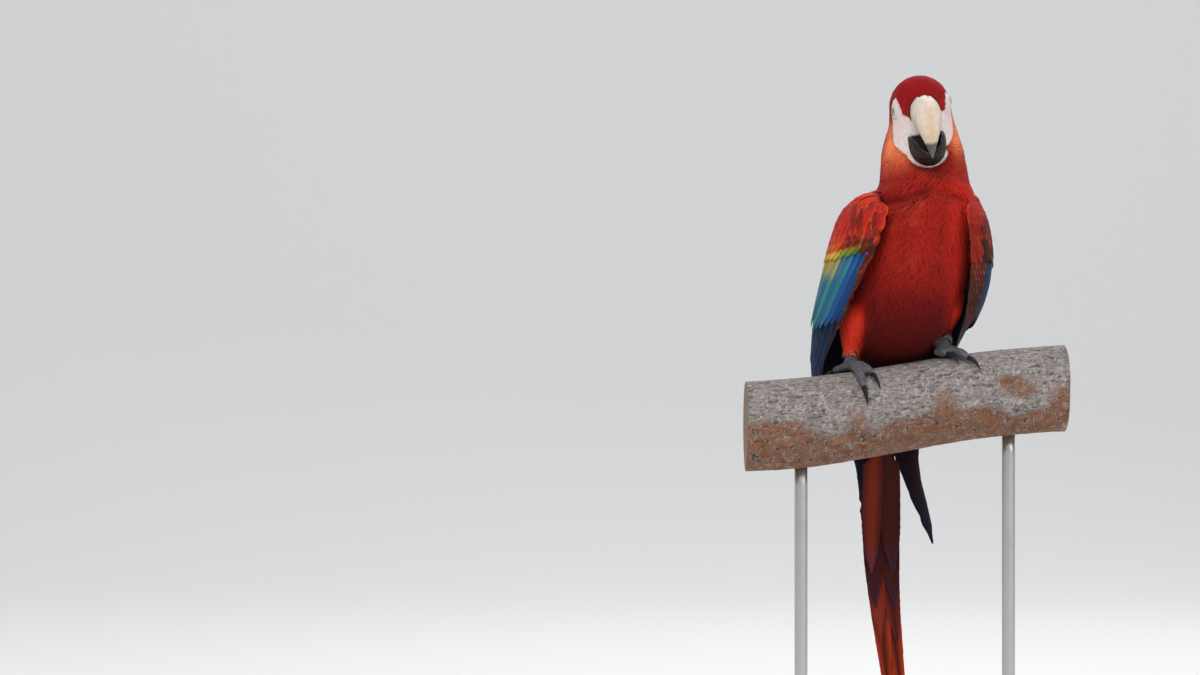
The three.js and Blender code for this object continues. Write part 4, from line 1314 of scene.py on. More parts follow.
# The lower bill's upper edge in front: distance from the middle and height, in the bill's millimetres.
GAPE = ((3.0, -54.0), (5.0, -53.2), (10.4, -48.6), (14.0, -43.2), (16.5, -38.8), (18.5, -35.0), (24.0, -30.2))
GAPE_BEHIND = -30.2  # the height of that edge at the back
GAPE_OPENS = ((0, 0), (16, 0), (44, 1), (90, 1))  # how far forward it comes down, from 0 to its full depth
GAPE_TOP = 200  # the cutter is tall, so that its ends are seen whole from their middles
LOBE_SQUEEZE = 0.055  # how much the lower bill narrows in front, against its width
SCOOP_MIDDLE = 30  # and the lower bill's hollow has its middle here


class MACAW_OT_bill(bpy.types.Operator):
    """Makes the upper bill with its cere and nostrils, and the lower bill"""

    bl_idname = "macaw.bill"
    bl_label = "Bill"

    def execute(self, context):
        self.upper()
        self.lower()
        return {"FINISHED"}

    def upper(self):
        colours = palette()
        piece = remeshed("upper_bill", ["bill_upper"], sizes().horn_grain, 60)
        points = mesh_points(piece)
        normals = Surface(points, mesh_triangles(piece)).normals
        across, forward, up = head_mm(points, BILL_LEFT)
        cere = ramp(CERE_FRONT - 0.6, CERE_FRONT + 0.8, up - 0.02 * across**2)
        dent = np.hypot((np.abs(across) - NOSTRIL[0]) / 1.1, up - NOSTRIL[1])
        hole = ramp(1.0, 0.4, dent) * (forward > 18)
        lip = ramp(2.2, 1.3, dent) * (1 - ramp(1.3, 0.7, dent)) * (forward > 18)
        tomium = np.abs(normals @ HEAD_LEFT) * ramp(-22, -30, up) * 0.4
        flakes = 0.12 * ripple(points, 0.006) * ripple(points, 0.0023)
        lift = 0.4 * cere + 0.25 * lip - 1.5 * hole + tomium + flakes
        move_points(piece, points + normals * lift[:, None] * MM)

        horn = for_each(points, colours.ivory)
        horn = horn * (1 + 0.05 * ripple(points, 0.017) + 0.04 * ripple(points, 0.004))[:, None]
        waver = 1.2 * ripple(points, 0.011) + 0.5 * ripple(points, 0.0035)
        streak = ramp(8.0, 1.5, np.abs(across - 0.5 + 1.6 * waver)) * ramp(0, -16, up + waver)
        horn = blend(horn, colours.tan, 0.75 * streak)
        # Painted shade down the sides of the bill, below the ridge.
        flank = 0.5 * ramp(11, 15, np.abs(across)) * ramp(-8, -20, up)
        horn = blend(horn, colours.ivory * (0.62, 0.52, 0.46), flank)
        black = ramp(TIP_LINE + 3.0, TIP_LINE - 1.5, up + waver - 0.15 * np.abs(across))
        horn = blend(horn, (0.085, 0.078, 0.072), black)
        root = ramp(30, 20, forward + 0.5 * (up + 24) + waver) * ramp(-14, -20, up)
        horn = blend(horn, colours.jet, 0.9 * root)
        horn = blend(horn, colours.face * 0.9, cere)
        # The nostrils are painted near black, as the shade inside them.
        horn = blend(horn, (0.02, 0.012, 0.01), hole)
        paint(piece.data, horn)
        pale_horn = material(grown_horn, (0.46, 0.34, 0.24), 0.22, 0.36, name="pale_horn")
        settle(piece, pale_horn, "ivory_horn", "bill_upper")

    @staticmethod
    def gape():
        """A wedge that cuts the lower bill's wall down in front, between its lobes."""
        line = [(-a, u) for a, u in GAPE[::-1]] + list(GAPE)
        rings = []
        for forward, part in GAPE_OPENS:
            section = [(a, GAPE_BEHIND + (u - GAPE_BEHIND) * part + MOUTH_TILT * a) for a, u in line]
            section += [(GAPE[-1][0], GAPE_TOP), (-GAPE[-1][0], GAPE_TOP)]
            rings.append([head_point(a, forward, u, BILL_LEFT) for a, u in section])
        return make_piece("gape", *lofted(rings))

    def lower(self):
        cutter = self.gape()
        piece = remeshed("lower_bill", ["bill_lower"], sizes().horn_grain, 12, cutter)
        bpy.data.objects.remove(cutter)
        points = mesh_points(piece)
        across, forward, up = head_mm(points, BILL_LEFT)
        narrow = LOBE_SQUEEZE * ramp(16, 32, forward) * across
        points = points - narrow[:, None] * BILL_LEFT * MM
        move_points(piece, points)
        normals = Surface(points, mesh_triangles(piece)).normals
        colours = palette()
        outward = unit(across[:, None] * BILL_LEFT + (SCOOP_MIDDLE - forward)[:, None] * BACK)
        facing = (normals * outward).sum(axis=1)
        # The hollow's inner walls are painted darker than the horn, as shade.
        inner = ramp(0.1, -0.3, facing) * (forward > 0)
        upward = normals @ BILL_UP
        inner = np.maximum(inner, ramp(0.4, 0.8, upward) * ramp(-57, -60, up))
        # A painted highlight along the rim, on the faces that turn upwards.
        rim = ramp(0.35, 0.8, upward) * (1 - inner)
        worn = ramp(0.2, 0.8, ripple(points, 0.012)) * 0.12
        horn = for_each(points, colours.jet)
        # The paler horn is both the painted rim highlight and random worn marks.
        horn = blend(horn, (0.20, 0.165, 0.155), 0.6 * rim + worn * (1 - rim))
        horn = blend(horn, colours.jet * 0.25, inner)
        paint(piece.data, horn)
        settle(piece, black_horn(), "black_horn", "bill_lower")


def black_horn():
    return material(grown_horn, (0.020, 0.014, 0.015), 0.25, 0.42, name="dark_horn")


# ---- feet
def claw_names():
    toes = [f"{end}_{place}" for end in ("front", "back") for place in ("inner", "outer")]
    return [f"claw_{side}_{toe}" for side in SIDES for toe in toes]


class MACAW_OT_feet(bpy.types.Operator):
    """Lays scales over the feet and makes the eight claws"""

    bl_idname = "macaw.feet"
    bl_label = "Feet"

    def execute(self, context):
        self.scales()
        for name in claw_names():
            piece = remeshed(name.replace("claw", "horn_claw"), [name], sizes().claw_grain, 20)
            paint(piece.data, for_each(piece.data.vertices, palette().jet))
            settle(piece, black_horn(), "black_horn", name)
        return {"FINISHED"}

    def scales(self):
        gap = sizes().scale_gap
        roots = SKIN["surface"].scatter(skin_part(*FEET), gap, 82)
        plume = Plume(gap * 1.25, gap * 0.62, 0.34 * MM, gap * 0.10, 0.4 * MM, CONTOUR, 5, 5)
        grow("scales_feet", roots, foot_lie(roots), plume, 81, "foot_skin", scale_colour, 0.22, (0.7, 1.9))


def scale_colour(points, colours):
    return for_each(points, colours.slate)


def foot_lie(points):
    """Scales point down the shank and out along the nearest toe."""
    away = np.zeros_like(points)
    best = np.full(len(points), np.inf)
    for side in SIDES:
        heart = middle_of("foot_" + side)
        for name in claw_names():
            if side in name:
                way = middle_of(name) - heart
                part = np.clip((points - heart) @ way / (way @ way), 0, 1)
                gap = np.linalg.norm(points - heart - part[:, None] * way, axis=1)
                nearer = gap < best
                away[nearer] = unit(way)
                best = np.minimum(best, gap)
    return away


def foot_scales(nodes):
    """Dry grey scales."""
    place = nodes.object_place()
    dust = nodes.ramp(nodes.noise(place, 500.0, 4.0), 0.45, 0.7)
    colour = nodes.mix(nodes.times(dust, 0.35), nodes.markings_and_painted_shading(), (0.20, 0.20, 0.21))
    return {
        "Base Color": colour,
        "Roughness": nodes.ramp(dust, 0.0, 1.0, 0.5, 0.75),
        "Specular IOR Level": 0.4,
        "Normal": nodes.bump(nodes.noise(place, 2500.0, 3.0), 0.1 * MM, 0.6),
    }


# ---- the folded wings
class WingChart:
    """A folded wing's outer face as a sheet: u from leading to trailing edge, and height z in millimetres."""

    STEP = 4.0  # between the chart's levels, in millimetres
    COLUMNS = 33

    def __init__(self, side):
        self.side = side
        way = SIDES[side]
        names = [f"wing_{side}_{part}" for part in ("shoulder", "secondaries", "primaries")]
        solid = node_surface(*names)
        spots = bird_mm(self.samples(solid))
        turns = self.turn(spots, way)
        self.levels = np.arange(spots[:, 2].min() + 3, spots[:, 2].max() - 3, self.STEP)
        lead, trail = [], []
        for z in self.levels:
            slab = turns[np.abs(spots[:, 2] - z) < self.STEP]
            lead.append(slab.min())
            trail.append(slab.max())
        lead, trail = self.even(np.array(lead)), self.even(np.array(trail))
        u = np.linspace(0, 1, self.COLUMNS)
        inset = np.clip(u, 0.015, 0.985)
        turn = lead[:, None] + (trail - lead)[:, None] * inset
        z = np.repeat(self.levels[:, None], self.COLUMNS, axis=1)
        x, y = spine(z)
        ways = np.stack([way * np.sin(turn), -np.cos(turn), np.zeros_like(turn)], axis=-1)
        axis = ROOST + np.stack([x, y, z], axis=-1) * MM
        hits = solid.cast((axis + ways * 0.3).reshape(-1, 3), -ways.reshape(-1, 3)).reshape(*turn.shape, 3)
        self.grid = self.mend(hits)
        side_way = np.gradient(self.grid, axis=1)
        rise = np.gradient(self.grid, axis=0)
        normals = unit(np.cross(side_way, rise))
        self.normals = normals * np.sign((normals * ways).sum(axis=-1, keepdims=True))
        steps = np.linalg.norm(np.diff(self.grid, axis=1), axis=-1)
        self.arcs = np.hstack([np.zeros((len(steps), 1)), np.cumsum(steps, axis=1)]) / MM

    @staticmethod
    def samples(solid):
        rng = np.random.default_rng(5)
        picks = rng.choice(len(solid.areas), 60000, p=solid.areas / solid.areas.sum())
        parts = rng.dirichlet((1, 1, 1), 60000)
        return (solid.points[solid.triangles[picks]] * parts[:, :, None]).sum(axis=1)

    @staticmethod
    def turn(spots, way):
        x, y = spine(spots[:, 2])
        return np.arctan2(way * (spots[:, 0] - x), -(spots[:, 1] - y))

    @staticmethod
    def even(values):
        padded = np.pad(values, 2, mode="edge")
        return np.convolve(padded, np.full(5, 0.2), mode="valid")

    @staticmethod
    def mend(hits):
        """Fills the rays that missed from their neighbours in the row, then softens the sheet."""
        for row in hits:
            good = ~np.isnan(row[:, 0])
            for axis in range(3):
                row[~good, axis] = np.interp(np.flatnonzero(~good), np.flatnonzero(good), row[good, axis])
        for _ in range(3):
            inner = hits[1:-1, 1:-1]
            inner += 0.15 * (hits[:-2, 1:-1] + hits[2:, 1:-1] + hits[1:-1, :-2] + hits[1:-1, 2:] - 4 * inner)
        return hits

    def look_up(self, table, u, z):
        """Reads a table of the chart between its points; past the sheet's edges it runs on straight."""
        i = np.clip((z - self.levels[0]) / self.STEP, 0, len(self.levels) - 1.001)
        j = u * (self.COLUMNS - 1)
        low_i = np.floor(i).astype(int)
        low_j = np.clip(np.floor(j), 0, self.COLUMNS - 2).astype(int)
        a, b = (i - low_i), (j - low_j)
        if table.ndim == 3:
            a, b = a[..., None], b[..., None]
        near = table[low_i, low_j] * (1 - b) + table[low_i, low_j + 1] * b
        far = table[low_i + 1, low_j] * (1 - b) + table[low_i + 1, low_j + 1] * b
        return near * (1 - a) + far * a

    def point(self, u, z, out):
        """Places on the sheet, lifted out (or sunk, if negative) by millimetres."""
        outward = unit(self.look_up(self.normals, np.clip(u, 0, 1), z))
        return self.look_up(self.grid, u, z) + outward * (np.asarray(out) * MM)[..., None]

    def arc(self, z):
        """The sheet's width at heights z, in millimetres."""
        return np.interp(z, self.levels, self.arcs[:, -1])

    def blue_edge(self, z):
        """How far from the leading edge the blue begins at height z, in millimetres."""
        heights, reaches = np.array(BLUE_EDGE[self.side], float).T
        row = int(np.clip(round((z - self.levels[0]) / self.STEP), 0, len(self.levels) - 1))
        out = SIDES[self.side] * bird_mm(self.grid[row])[:, 0]
        past = np.flatnonzero(out >= np.interp(z, heights, reaches))
        return self.arcs[row, past[0]] if len(past) else 0.45 * self.arcs[row, -1]


# How far out from the bird's middle plane the blue of each wing begins, by height, in millimetres.
BLUE_EDGE = {
    "right": ((30, 74), (41, 72.4), (115, 47.5)),
    "left": ((24, 56), (50, 75), (104, 84)),
}
# Height of the lowest small coverts' tips at the front and at the back of each wing, in millimetres.
COVERT_END = {"right": (117, 109), "left": (107, 100)}
COVERT_ROW = 8.5  # between the rows of small coverts
LOW_COVERT_SHADE = {"right": 0.12, "left": 0.55}  # how much painted shade darkens the lowest small coverts in front, between the wing and the breast
COVERT_GLOW = 1.9  # how much brighter the small coverts are than the breast
COVERT_LENGTH = 25
COVERT_TOP = 158  # no row's tips are higher than this
COVERT_PITCH = 8.2  # between the small coverts of a row
PRIMARY_TIPS = (-96, -132, -158, -180, -192, -203, -198, -182, -158, -130)  # the leading feather first
SECONDARY_TIPS = (-92, -88, -82, -76, -70, -63, -56, -48)
GREATER_TIPS = (44, 42, 40, 38, 36, 35)
GREATER_PITCH = 7.6  # between the greater coverts, in millimetres
LINING_ROW, LINING_PITCH = 6.5, 5.5  # between the rows of lining coverts, and between those of a row
LINING_LENGTH = 21
LINING_END = {"right": 36, "left": 24}  # height of the lowest ones' tips

# Half the widths of the long vanes, in millimetres.
PRIMARY_HALF, SECONDARY_HALF, GREATER_HALF, SMALL_HALF, LINING_HALF = 10.0, 12.5, 6.8, 6.4, 4.6
BLADE_COLUMNS = 7
BLADE_MIDDLE = BLADE_COLUMNS // 2
BLADE_THICK = 0.5  # of the long vanes' keels, and how far their leading edges tilt out, in millimetres
BLADE_TILT = 0.45
Blade = namedtuple("Blade", "root tip half out")  # root and tip are (u, z), half and out in millimetres


def chart_blades(chart, blades, rows, shape, rng):
    """Grids, keels and sizes of long vanes laid on a wing's sheet, their leading edges tilted out."""
    t = stations(rows)
    across = np.linspace(-1, 1, BLADE_COLUMNS)
    grids, keels, spans = [], [], []
    for blade in blades:
        u = blade.root[0] + (blade.tip[0] - blade.root[0]) * t
        z = blade.root[1] + (blade.tip[1] - blade.root[1]) * t
        arc = np.maximum(chart.arc(z), 12)
        half = blade.half * outline(shape, t)
        fray = rng.uniform(0.96, 1.03, (rows, 1))
        shift = across[None] * half[:, None] * fray
        bow = 0.3 * (1 - np.abs(across)) ** 4 - 0.25 * across**2 - BLADE_TILT * across
        out = blade.out + 0.5 * ramp(0.5, 1, t)[:, None] + bow[None]
        wide_u, wide_z = u[:, None] + shift / arc[:, None], np.repeat(z[:, None], BLADE_COLUMNS, axis=1)
        grid = chart.point(wide_u, wide_z, out)
        grids.append(grid)
        keels.append(chart.point(u, z, out[:, BLADE_MIDDLE] - BLADE_THICK))
        spans.append((2 * blade.half * MM, np.linalg.norm(grid[-1, BLADE_MIDDLE] - grid[0, BLADE_MIDDLE])))
    return np.array(grids), np.array(keels), np.array(spans)


def blade_colours(outer, inner, edge, tip, rows, own, tip_from=0.80):
    """Colours over one long vane: its leading web, trailing web, leading edge and tip."""
    t = stations(rows)[:, None, None]
    u = np.linspace(-1, 1, BLADE_COLUMNS)[None, :, None]
    colour = outer + (inner - outer) * ramp(0.1, 0.5, u)
    colour = colour + (edge - colour) * ramp(-0.5, -0.95, u)
    colour = colour + (tip - colour) * ramp(tip_from, min(tip_from + 0.2, 1.0), t)
    # Painted shade near the root, where the feathers above cover it.
    return colour * (0.6 + 0.4 * ramp(0.0, 0.35, t)) * own


class MACAW_OT_wings(bpy.types.Operator):
    """Lays the flight feathers and coverts of both folded wings"""

    bl_idname = "macaw.wings"
    bl_label = "Wings"

    def execute(self, context):
        layers = (
            ("flight", self.flight, QUILL, 91, "flight_feathers", ("secondaries", "primaries")),
            ("greater_coverts", self.greater, LANCE, 92, "covert_feathers", ()),
            ("small_coverts", self.small, CONTOUR, 93, "covert_feathers", ()),
            ("lining_coverts", self.lining, CONTOUR, 94, "covert_feathers", ()),
        )
        for side in SIDES:
            chart = WingChart(side)
            for name, lay, shape, seed, slot, parts in layers:
                rng = np.random.default_rng(seed)
                blades, top = zip(*lay(chart, palette(), rng))
                piece = self.weave(f"{name}_{side}", chart, blades, np.array(top), shape, rng)
                settle(piece, vane_material(slot), slot, *[f"wing_{side}_{part}" for part in parts])
            self.shoulder(side)
        return {"FINISHED"}

    @staticmethod
    def flight(chart, colours, rng):
        """Primaries, then secondaries over them, each overlapped by the next one behind it."""
        navy, dusk, azure = colours.navy, colours.dusk, colours.azure
        rows = 30
        root_z, blue_z = 64, 40.0
        for i, tip in enumerate(PRIMARY_TIPS):
            part = i / (len(PRIMARY_TIPS) - 1)
            root = (0.07 + 0.46 * part, root_z - 8 * part)
            bluer = ramp(6, 20, root[0] * chart.arc(blue_z) - chart.blue_edge(blue_z))
            web, edge = blend(dusk, navy, bluer), blend(dusk * 1.3, azure, bluer)
            own = 1 + rng.normal(0, 0.06)
            look = blade_colours(web, blend(web, dusk * 0.5, 0.6), edge, web * 0.8, rows, own)
            yield Blade(root, (0.16 + 0.62 * part, tip), PRIMARY_HALF, -3.0 + 0.22 * i), look
        for i, tip in enumerate(SECONDARY_TIPS):
            part = i / (len(SECONDARY_TIPS) - 1)
            own = 1 + rng.normal(0, 0.06)
            look = blade_colours(blend(navy, azure, 0.45), navy * 0.8, azure, navy, rows, own)
            root, end = (0.44 + 0.5 * part, 72), (0.56 + 0.36 * part, tip)
            yield Blade(root, end, SECONDARY_HALF - 2 * part, -0.9 + 0.1 * i), look

    @staticmethod
    def greater(chart, colours, rng):
        """Primary coverts, blue, then greater coverts, gold with green and blue tips."""
        shade = 0.3 if chart.side == "left" else 0.82
        middle_z, root_z = 80.0, 128
        reach, start = chart.arc(middle_z), chart.blue_edge(middle_z)
        for i, place in enumerate(np.arange(start + 3, reach - 2, GREATER_PITCH)):
            zone = place - start
            tip_z = GREATER_TIPS[i] if i < len(GREATER_TIPS) else 35 + 0.32 * (zone - 36)
            gold = ramp(30, 44, zone)
            green = ramp(18, 30, zone) * (0.35 + 0.65 * (i % 2))
            blue = colours.azure * shade * (1 + 0.5 * ramp(6, 18, zone))
            tip = blend(blue, colours.teal, 0.9 * green)
            olive = blend(colours.leaf, colours.gold, 0.35 + 0.4 * rng.random())
            web = blend(tip, olive, gold)
            edge = blend(blue * 1.9, blend(colours.teal * 1.7, colours.gold, 0.6 * gold), green)
            look = blade_colours(web, web * 0.8, edge, tip, 18, 1 + rng.normal(0, 0.07), 0.28)
            u = place / reach
            yield Blade((u, root_z), (u, tip_z), GREATER_HALF, 0.9 + 0.05 * i), look

    def small(self, chart, colours, rng):
        """Rows of small coverts from above the greater ones up to the wrist."""
        front, back = COVERT_END[chart.side]
        for row in range(math.ceil((COVERT_TOP - back) / COVERT_ROW)):
            rise = COVERT_ROW * row
            middle = (front + back) / 2 + rise
            arc, start = chart.arc(middle), chart.blue_edge(middle)
            for place in np.arange(-2 + (row % 2) * COVERT_PITCH / 2, arc + 3, COVERT_PITCH):
                spot = place + rng.normal(0, 0.6)
                zone = spot - start
                tip_z = front + (back - front) * np.clip((zone - 5) / 40, 0, 1) + rise
                tip_z += rng.normal(0, 0.9)
                root_z = min(tip_z + COVERT_LENGTH, chart.levels[-1])
                base, tip, edge = self.small_colours(zone, row, colours, rng)
                # Painted shade on the lowest small coverts in front, next to the breast.
                covert_shade = LOW_COVERT_SHADE[chart.side] * (ramp(152, 120, tip_z) * ramp(24, 8, zone))
                light = (1 - covert_shade) * (1 + rng.normal(0, 0.06))
                look = blade_colours(base, base, edge, tip, 10, light, 0.55)
                out = 2.0 - 1.6 * ramp(118, 160, tip_z)
                yield Blade((spot / arc, root_z), (spot / arc, tip_z), SMALL_HALF, out), look

    @staticmethod
    def small_colours(zone, row, colours, rng):
        """Base, tip and edge colours of a small covert at a distance past the blue's edge."""
        red, ember = colours.scarlet * COVERT_GLOW, colours.ember
        gold, leaf, umber = colours.gold, colours.leaf, colours.umber
        warm = blend(red, ember, 0.12 + 0.22 * rng.random())
        past = ramp(32, 46, zone)
        if row == 0 and zone > 13:
            olive = blend(leaf * 0.7, leaf * 1.5, ramp(13, 30, zone))
            tip = blend(olive, blend(gold, ember, 0.25), past)
            return red * 0.8, tip, blend(tip, gold, 0.3)
        if row < 2 and zone > 0:
            tip = blend(blend(red, umber, 0.9), blend(red, gold, 0.3 * past), ramp(26, 36, zone))
            return red * 0.7, tip, warm
        dark = (1.2 - 0.25 * row) * ramp(-18, -2, zone) * ramp(40, 24, zone)
        if rng.random() < dark:
            tip = blend(red, umber, 0.87 + 0.12 * rng.random())
            return blend(red, umber, 0.62), tip, blend(red, umber, 0.3)
        return red, blend(red, ember, 0.10), warm

    @staticmethod
    def lining(chart, colours, rng):
        """Narrow coverts along the wing's leading edge, down beside the blue ones: a dull dark red, with
        painted shade that deepens downwards.
        """
        for row, root_z in enumerate(np.arange(122, LINING_END[chart.side] + 20, -LINING_ROW)):
            arc, start = chart.arc(root_z - 10), chart.blue_edge(root_z - 18.0)
            # Painted shade that deepens down the wing, towards the gap between the wing and the body.
            shade = ramp(128, 90, root_z)
            for place in np.arange(-2 + (row % 2) * LINING_PITCH / 2, start - 1, LINING_PITCH):
                u = (place + rng.normal(0, 0.4)) / arc
                base = blend(colours.scarlet * 0.6, colours.dusk * 1.1, 0.5 + 0.45 * shade)
                rim = blend(base, colours.ember, (0.25 - 0.13 * shade) * rng.random())
                look = blade_colours(base, base, rim, rim, 10, 1 + rng.normal(0, 0.1), 0.7)
                yield Blade((u, root_z), (u, root_z - LINING_LENGTH), LINING_HALF, 1.2), look

    @staticmethod
    def weave(name, chart, blades, top, shape, rng):
        """One piece of the blades, dark beneath."""
        grids, keels, spans = chart_blades(chart, blades, top.shape[1], shape, rng)
        keel = 0.5 * top[:, :, BLADE_MIDDLE] + 0.5 * palette().dusk
        if chart.side == "left":
            grids, top = grids[:, :, ::-1], top[:, :, ::-1]
        return join_vanes(name, grids, keels, top, keel, spans, unroll(grids[:, 0, BLADE_MIDDLE]))

    @staticmethod
    def shoulder(side):
        """Small scarlet coverts over the wing's arm, on every side of it."""
        gap = sizes().covert_gap
        roots = SKIN["surface"].scatter(skin_part(f"wing_{side}_shoulder"), gap, 95)
        lie = for_each(roots, unit(DOWN + 0.25 * BACK + 0.2 * SIDES[side] * LEFT))
        plume = Plume(gap * 3.8, gap * 1.1, 2.5 * MM, gap * 0.07, 0.25 * MM, CONTOUR, 7, 5)
        grow(f"coat_shoulder_{side}", roots, lie, plume, 96, "covert_feathers", shoulder_colour, 0.07)


def shoulder_colour(points, colours):
    """Scarlet coverts with warm patches."""
    red = for_each(points, colours.scarlet * COVERT_GLOW)
    return blend(red, colours.ember, 0.03 + 0.06 * ramp(-0.4, 0.8, ripple(points, 0.013)))


# ---- the tail
TAIL_ROWS = 44
TAIL_BREAK = 5 * MM  # more than this along a solid feather parts its sections
TAIL_THICK = 1.3 * MM
TAIL_DOWN = unit(DOWN + TAIL_SLIDE * BACK)
TAIL_BACK = np.cross(LEFT, TAIL_DOWN)


class MACAW_OT_tail(bpy.types.Operator):
    """Makes the twelve long feathers of the tail"""

    bl_idname = "macaw.tail"
    bl_label = "Tail"

    def execute(self, context):
        colours = palette()
        rng = np.random.default_rng(101)
        made, names = [], []
        for side in SIDES:
            for pair in range(TAIL_PAIRS):
                name = f"tail_feather_{side}_{pair + 1}"
                grid, keel, span = self.blade(name, rng)
                names.append(name)
                outer = pair / (TAIL_PAIRS - 1)
                # The outer feathers' maroon is partly their dull red and partly painted shade beneath the
                # perch.
                base = blend(colours.flame, colours.maroon_and_shade * 1.6, ramp(0.15, 0.8, outer))
                tip = blend(base, colours.azure * 0.7, 0.5 * ramp(0.3, 1.0, outer))
                lit = 0.75 if side == "right" and pair % 2 else 0.12
                below = blend(colours.maroon_and_shade, colours.flame, lit * (1 - 0.5 * outer))
                made.append((grid, keel, self.shades(base, tip, rng), for_each(keel, below), span))
        grids, keels, top, under, spans = (np.array(parts) for parts in zip(*made))
        roots = unroll(grids[:, 0, BLADE_MIDDLE])
        piece = join_vanes("tail_feathers", grids, keels, top, under, spans, roots)
        settle(piece, vane_material("tail_feathers"), "tail_feathers", *names)
        return {"FINISHED"}

    @staticmethod
    def blade(name, rng):
        """One feather's grid, read off its solid row by row and made finer."""
        spots = node_mesh([name])[0]
        spots = spots[np.argsort(spots @ TAIL_DOWN)]
        along, depth = spots @ TAIL_DOWN, spots @ TAIL_BACK
        breaks = np.flatnonzero(np.diff(along) > TAIL_BREAK) + 1
        sections = np.split(np.arange(len(spots)), breaks)
        levels = [along[section].mean() for section in sections]
        shapes = []
        for section in sections:
            x, deep = spots[section, 0], depth[section]
            fall = max(np.ptp(deep) - TAIL_THICK, 0)
            shapes.append(((x.min() + x.max()) / 2, np.ptp(x) / 2, deep.max(), fall))
        fine = levels[0] + (levels[-1] - levels[0]) * stations(TAIL_ROWS)
        middle, half, back, fall = (np.interp(fine, levels, values) for values in zip(*shapes))
        part = (fine - fine[0]) / (fine[-1] - fine[0])
        widest = np.max(half)
        point = np.clip((part - 0.5) / 0.5, 0, 1)
        half = np.minimum(half, widest * np.maximum(np.sqrt(1 - point**3), 0.14))
        across = np.linspace(-1, 1, BLADE_COLUMNS)
        fray = rng.uniform(0.97, 1.02, (TAIL_ROWS, 1))
        x = middle[:, None] + half[:, None] * across[None] * fray
        sunk = back[:, None] - fall[:, None] * across[None] ** 2 + 0.25 * MM * (1 - np.abs(across))[None] ** 4
        grid = TAIL_DOWN * fine[:, None, None] + TAIL_BACK * sunk[:, :, None]
        grid[:, :, 0] = x
        keel = TAIL_DOWN * fine[:, None] + TAIL_BACK * (back - TAIL_THICK * 0.6)[:, None]
        keel[:, 0] = middle
        return grid, keel, (2 * widest, fine[-1] - fine[0])

    @staticmethod
    def shades(base, tip, rng):
        t = stations(TAIL_ROWS)[:, None, None]
        u = np.linspace(-1, 1, BLADE_COLUMNS)[None, :, None]
        colour = base + (base * 1.25 - base) * ramp(0.4, 1.0, np.abs(u))
        colour = colour + (tip - colour) * ramp(0.75, 1.0, t)
        # Painted shade near the root, under the tail's coverts.
        return colour * (0.62 + 0.38 * ramp(0.0, 0.4, t)) * (1 + rng.normal(0, 0.05))


# ---- perch
BRANCH_THICK = 0.097
RAY_REACH = 0.1  # how far from the axis the rays towards it start
END_DEPTH = 0.4 * MM  # how far the sawn faces stand out from the last ring of bark
AXIS_SLAB = 22 * MM  # half the length of branch that each point of its axis is the middle of
# Sizes of the perch's patterns, in millimetres: bare patches, cracks, lumps and worm tracks.
PATCH_SIZES = (46, 30, 30)
CRACK_SIZES = (26, 3.2, 3.2)
LUMP_SIZE = 7
TRACK_SIZE = 9.5
WARP_SIZE, WARP_REACH = 17, 5  # the tracks wander by this much
TRACK_SEED = 1795503387  # noise_vector takes its offsets from the clock where no seed is set
BARK_GREY, BARK_PALE = np.array([0.165, 0.150, 0.145]), np.array([0.36, 0.31, 0.28])
WOOD_RAW, WOOD_TAN = np.array([0.195, 0.072, 0.030]), np.array([0.265, 0.125, 0.062])
SAWN_WOOD = np.array([0.34, 0.22, 0.13])
# The rings of the sawn ends: their size against the branch, and how bright the wood is there.
GROWTH_RINGS = ((0.985, 0.8), (0.80, 1.0), (0.60, 0.9), (0.40, 1.05), (0.20, 0.85), (0.06, 0.7))


def stretched_noise(spot, sizes_mm):
    """Noise from about -1 to 1, with features as long as the sizes along x, y and z."""
    return noise.noise(Vector([place / size for place, size in zip(spot, sizes_mm)]))


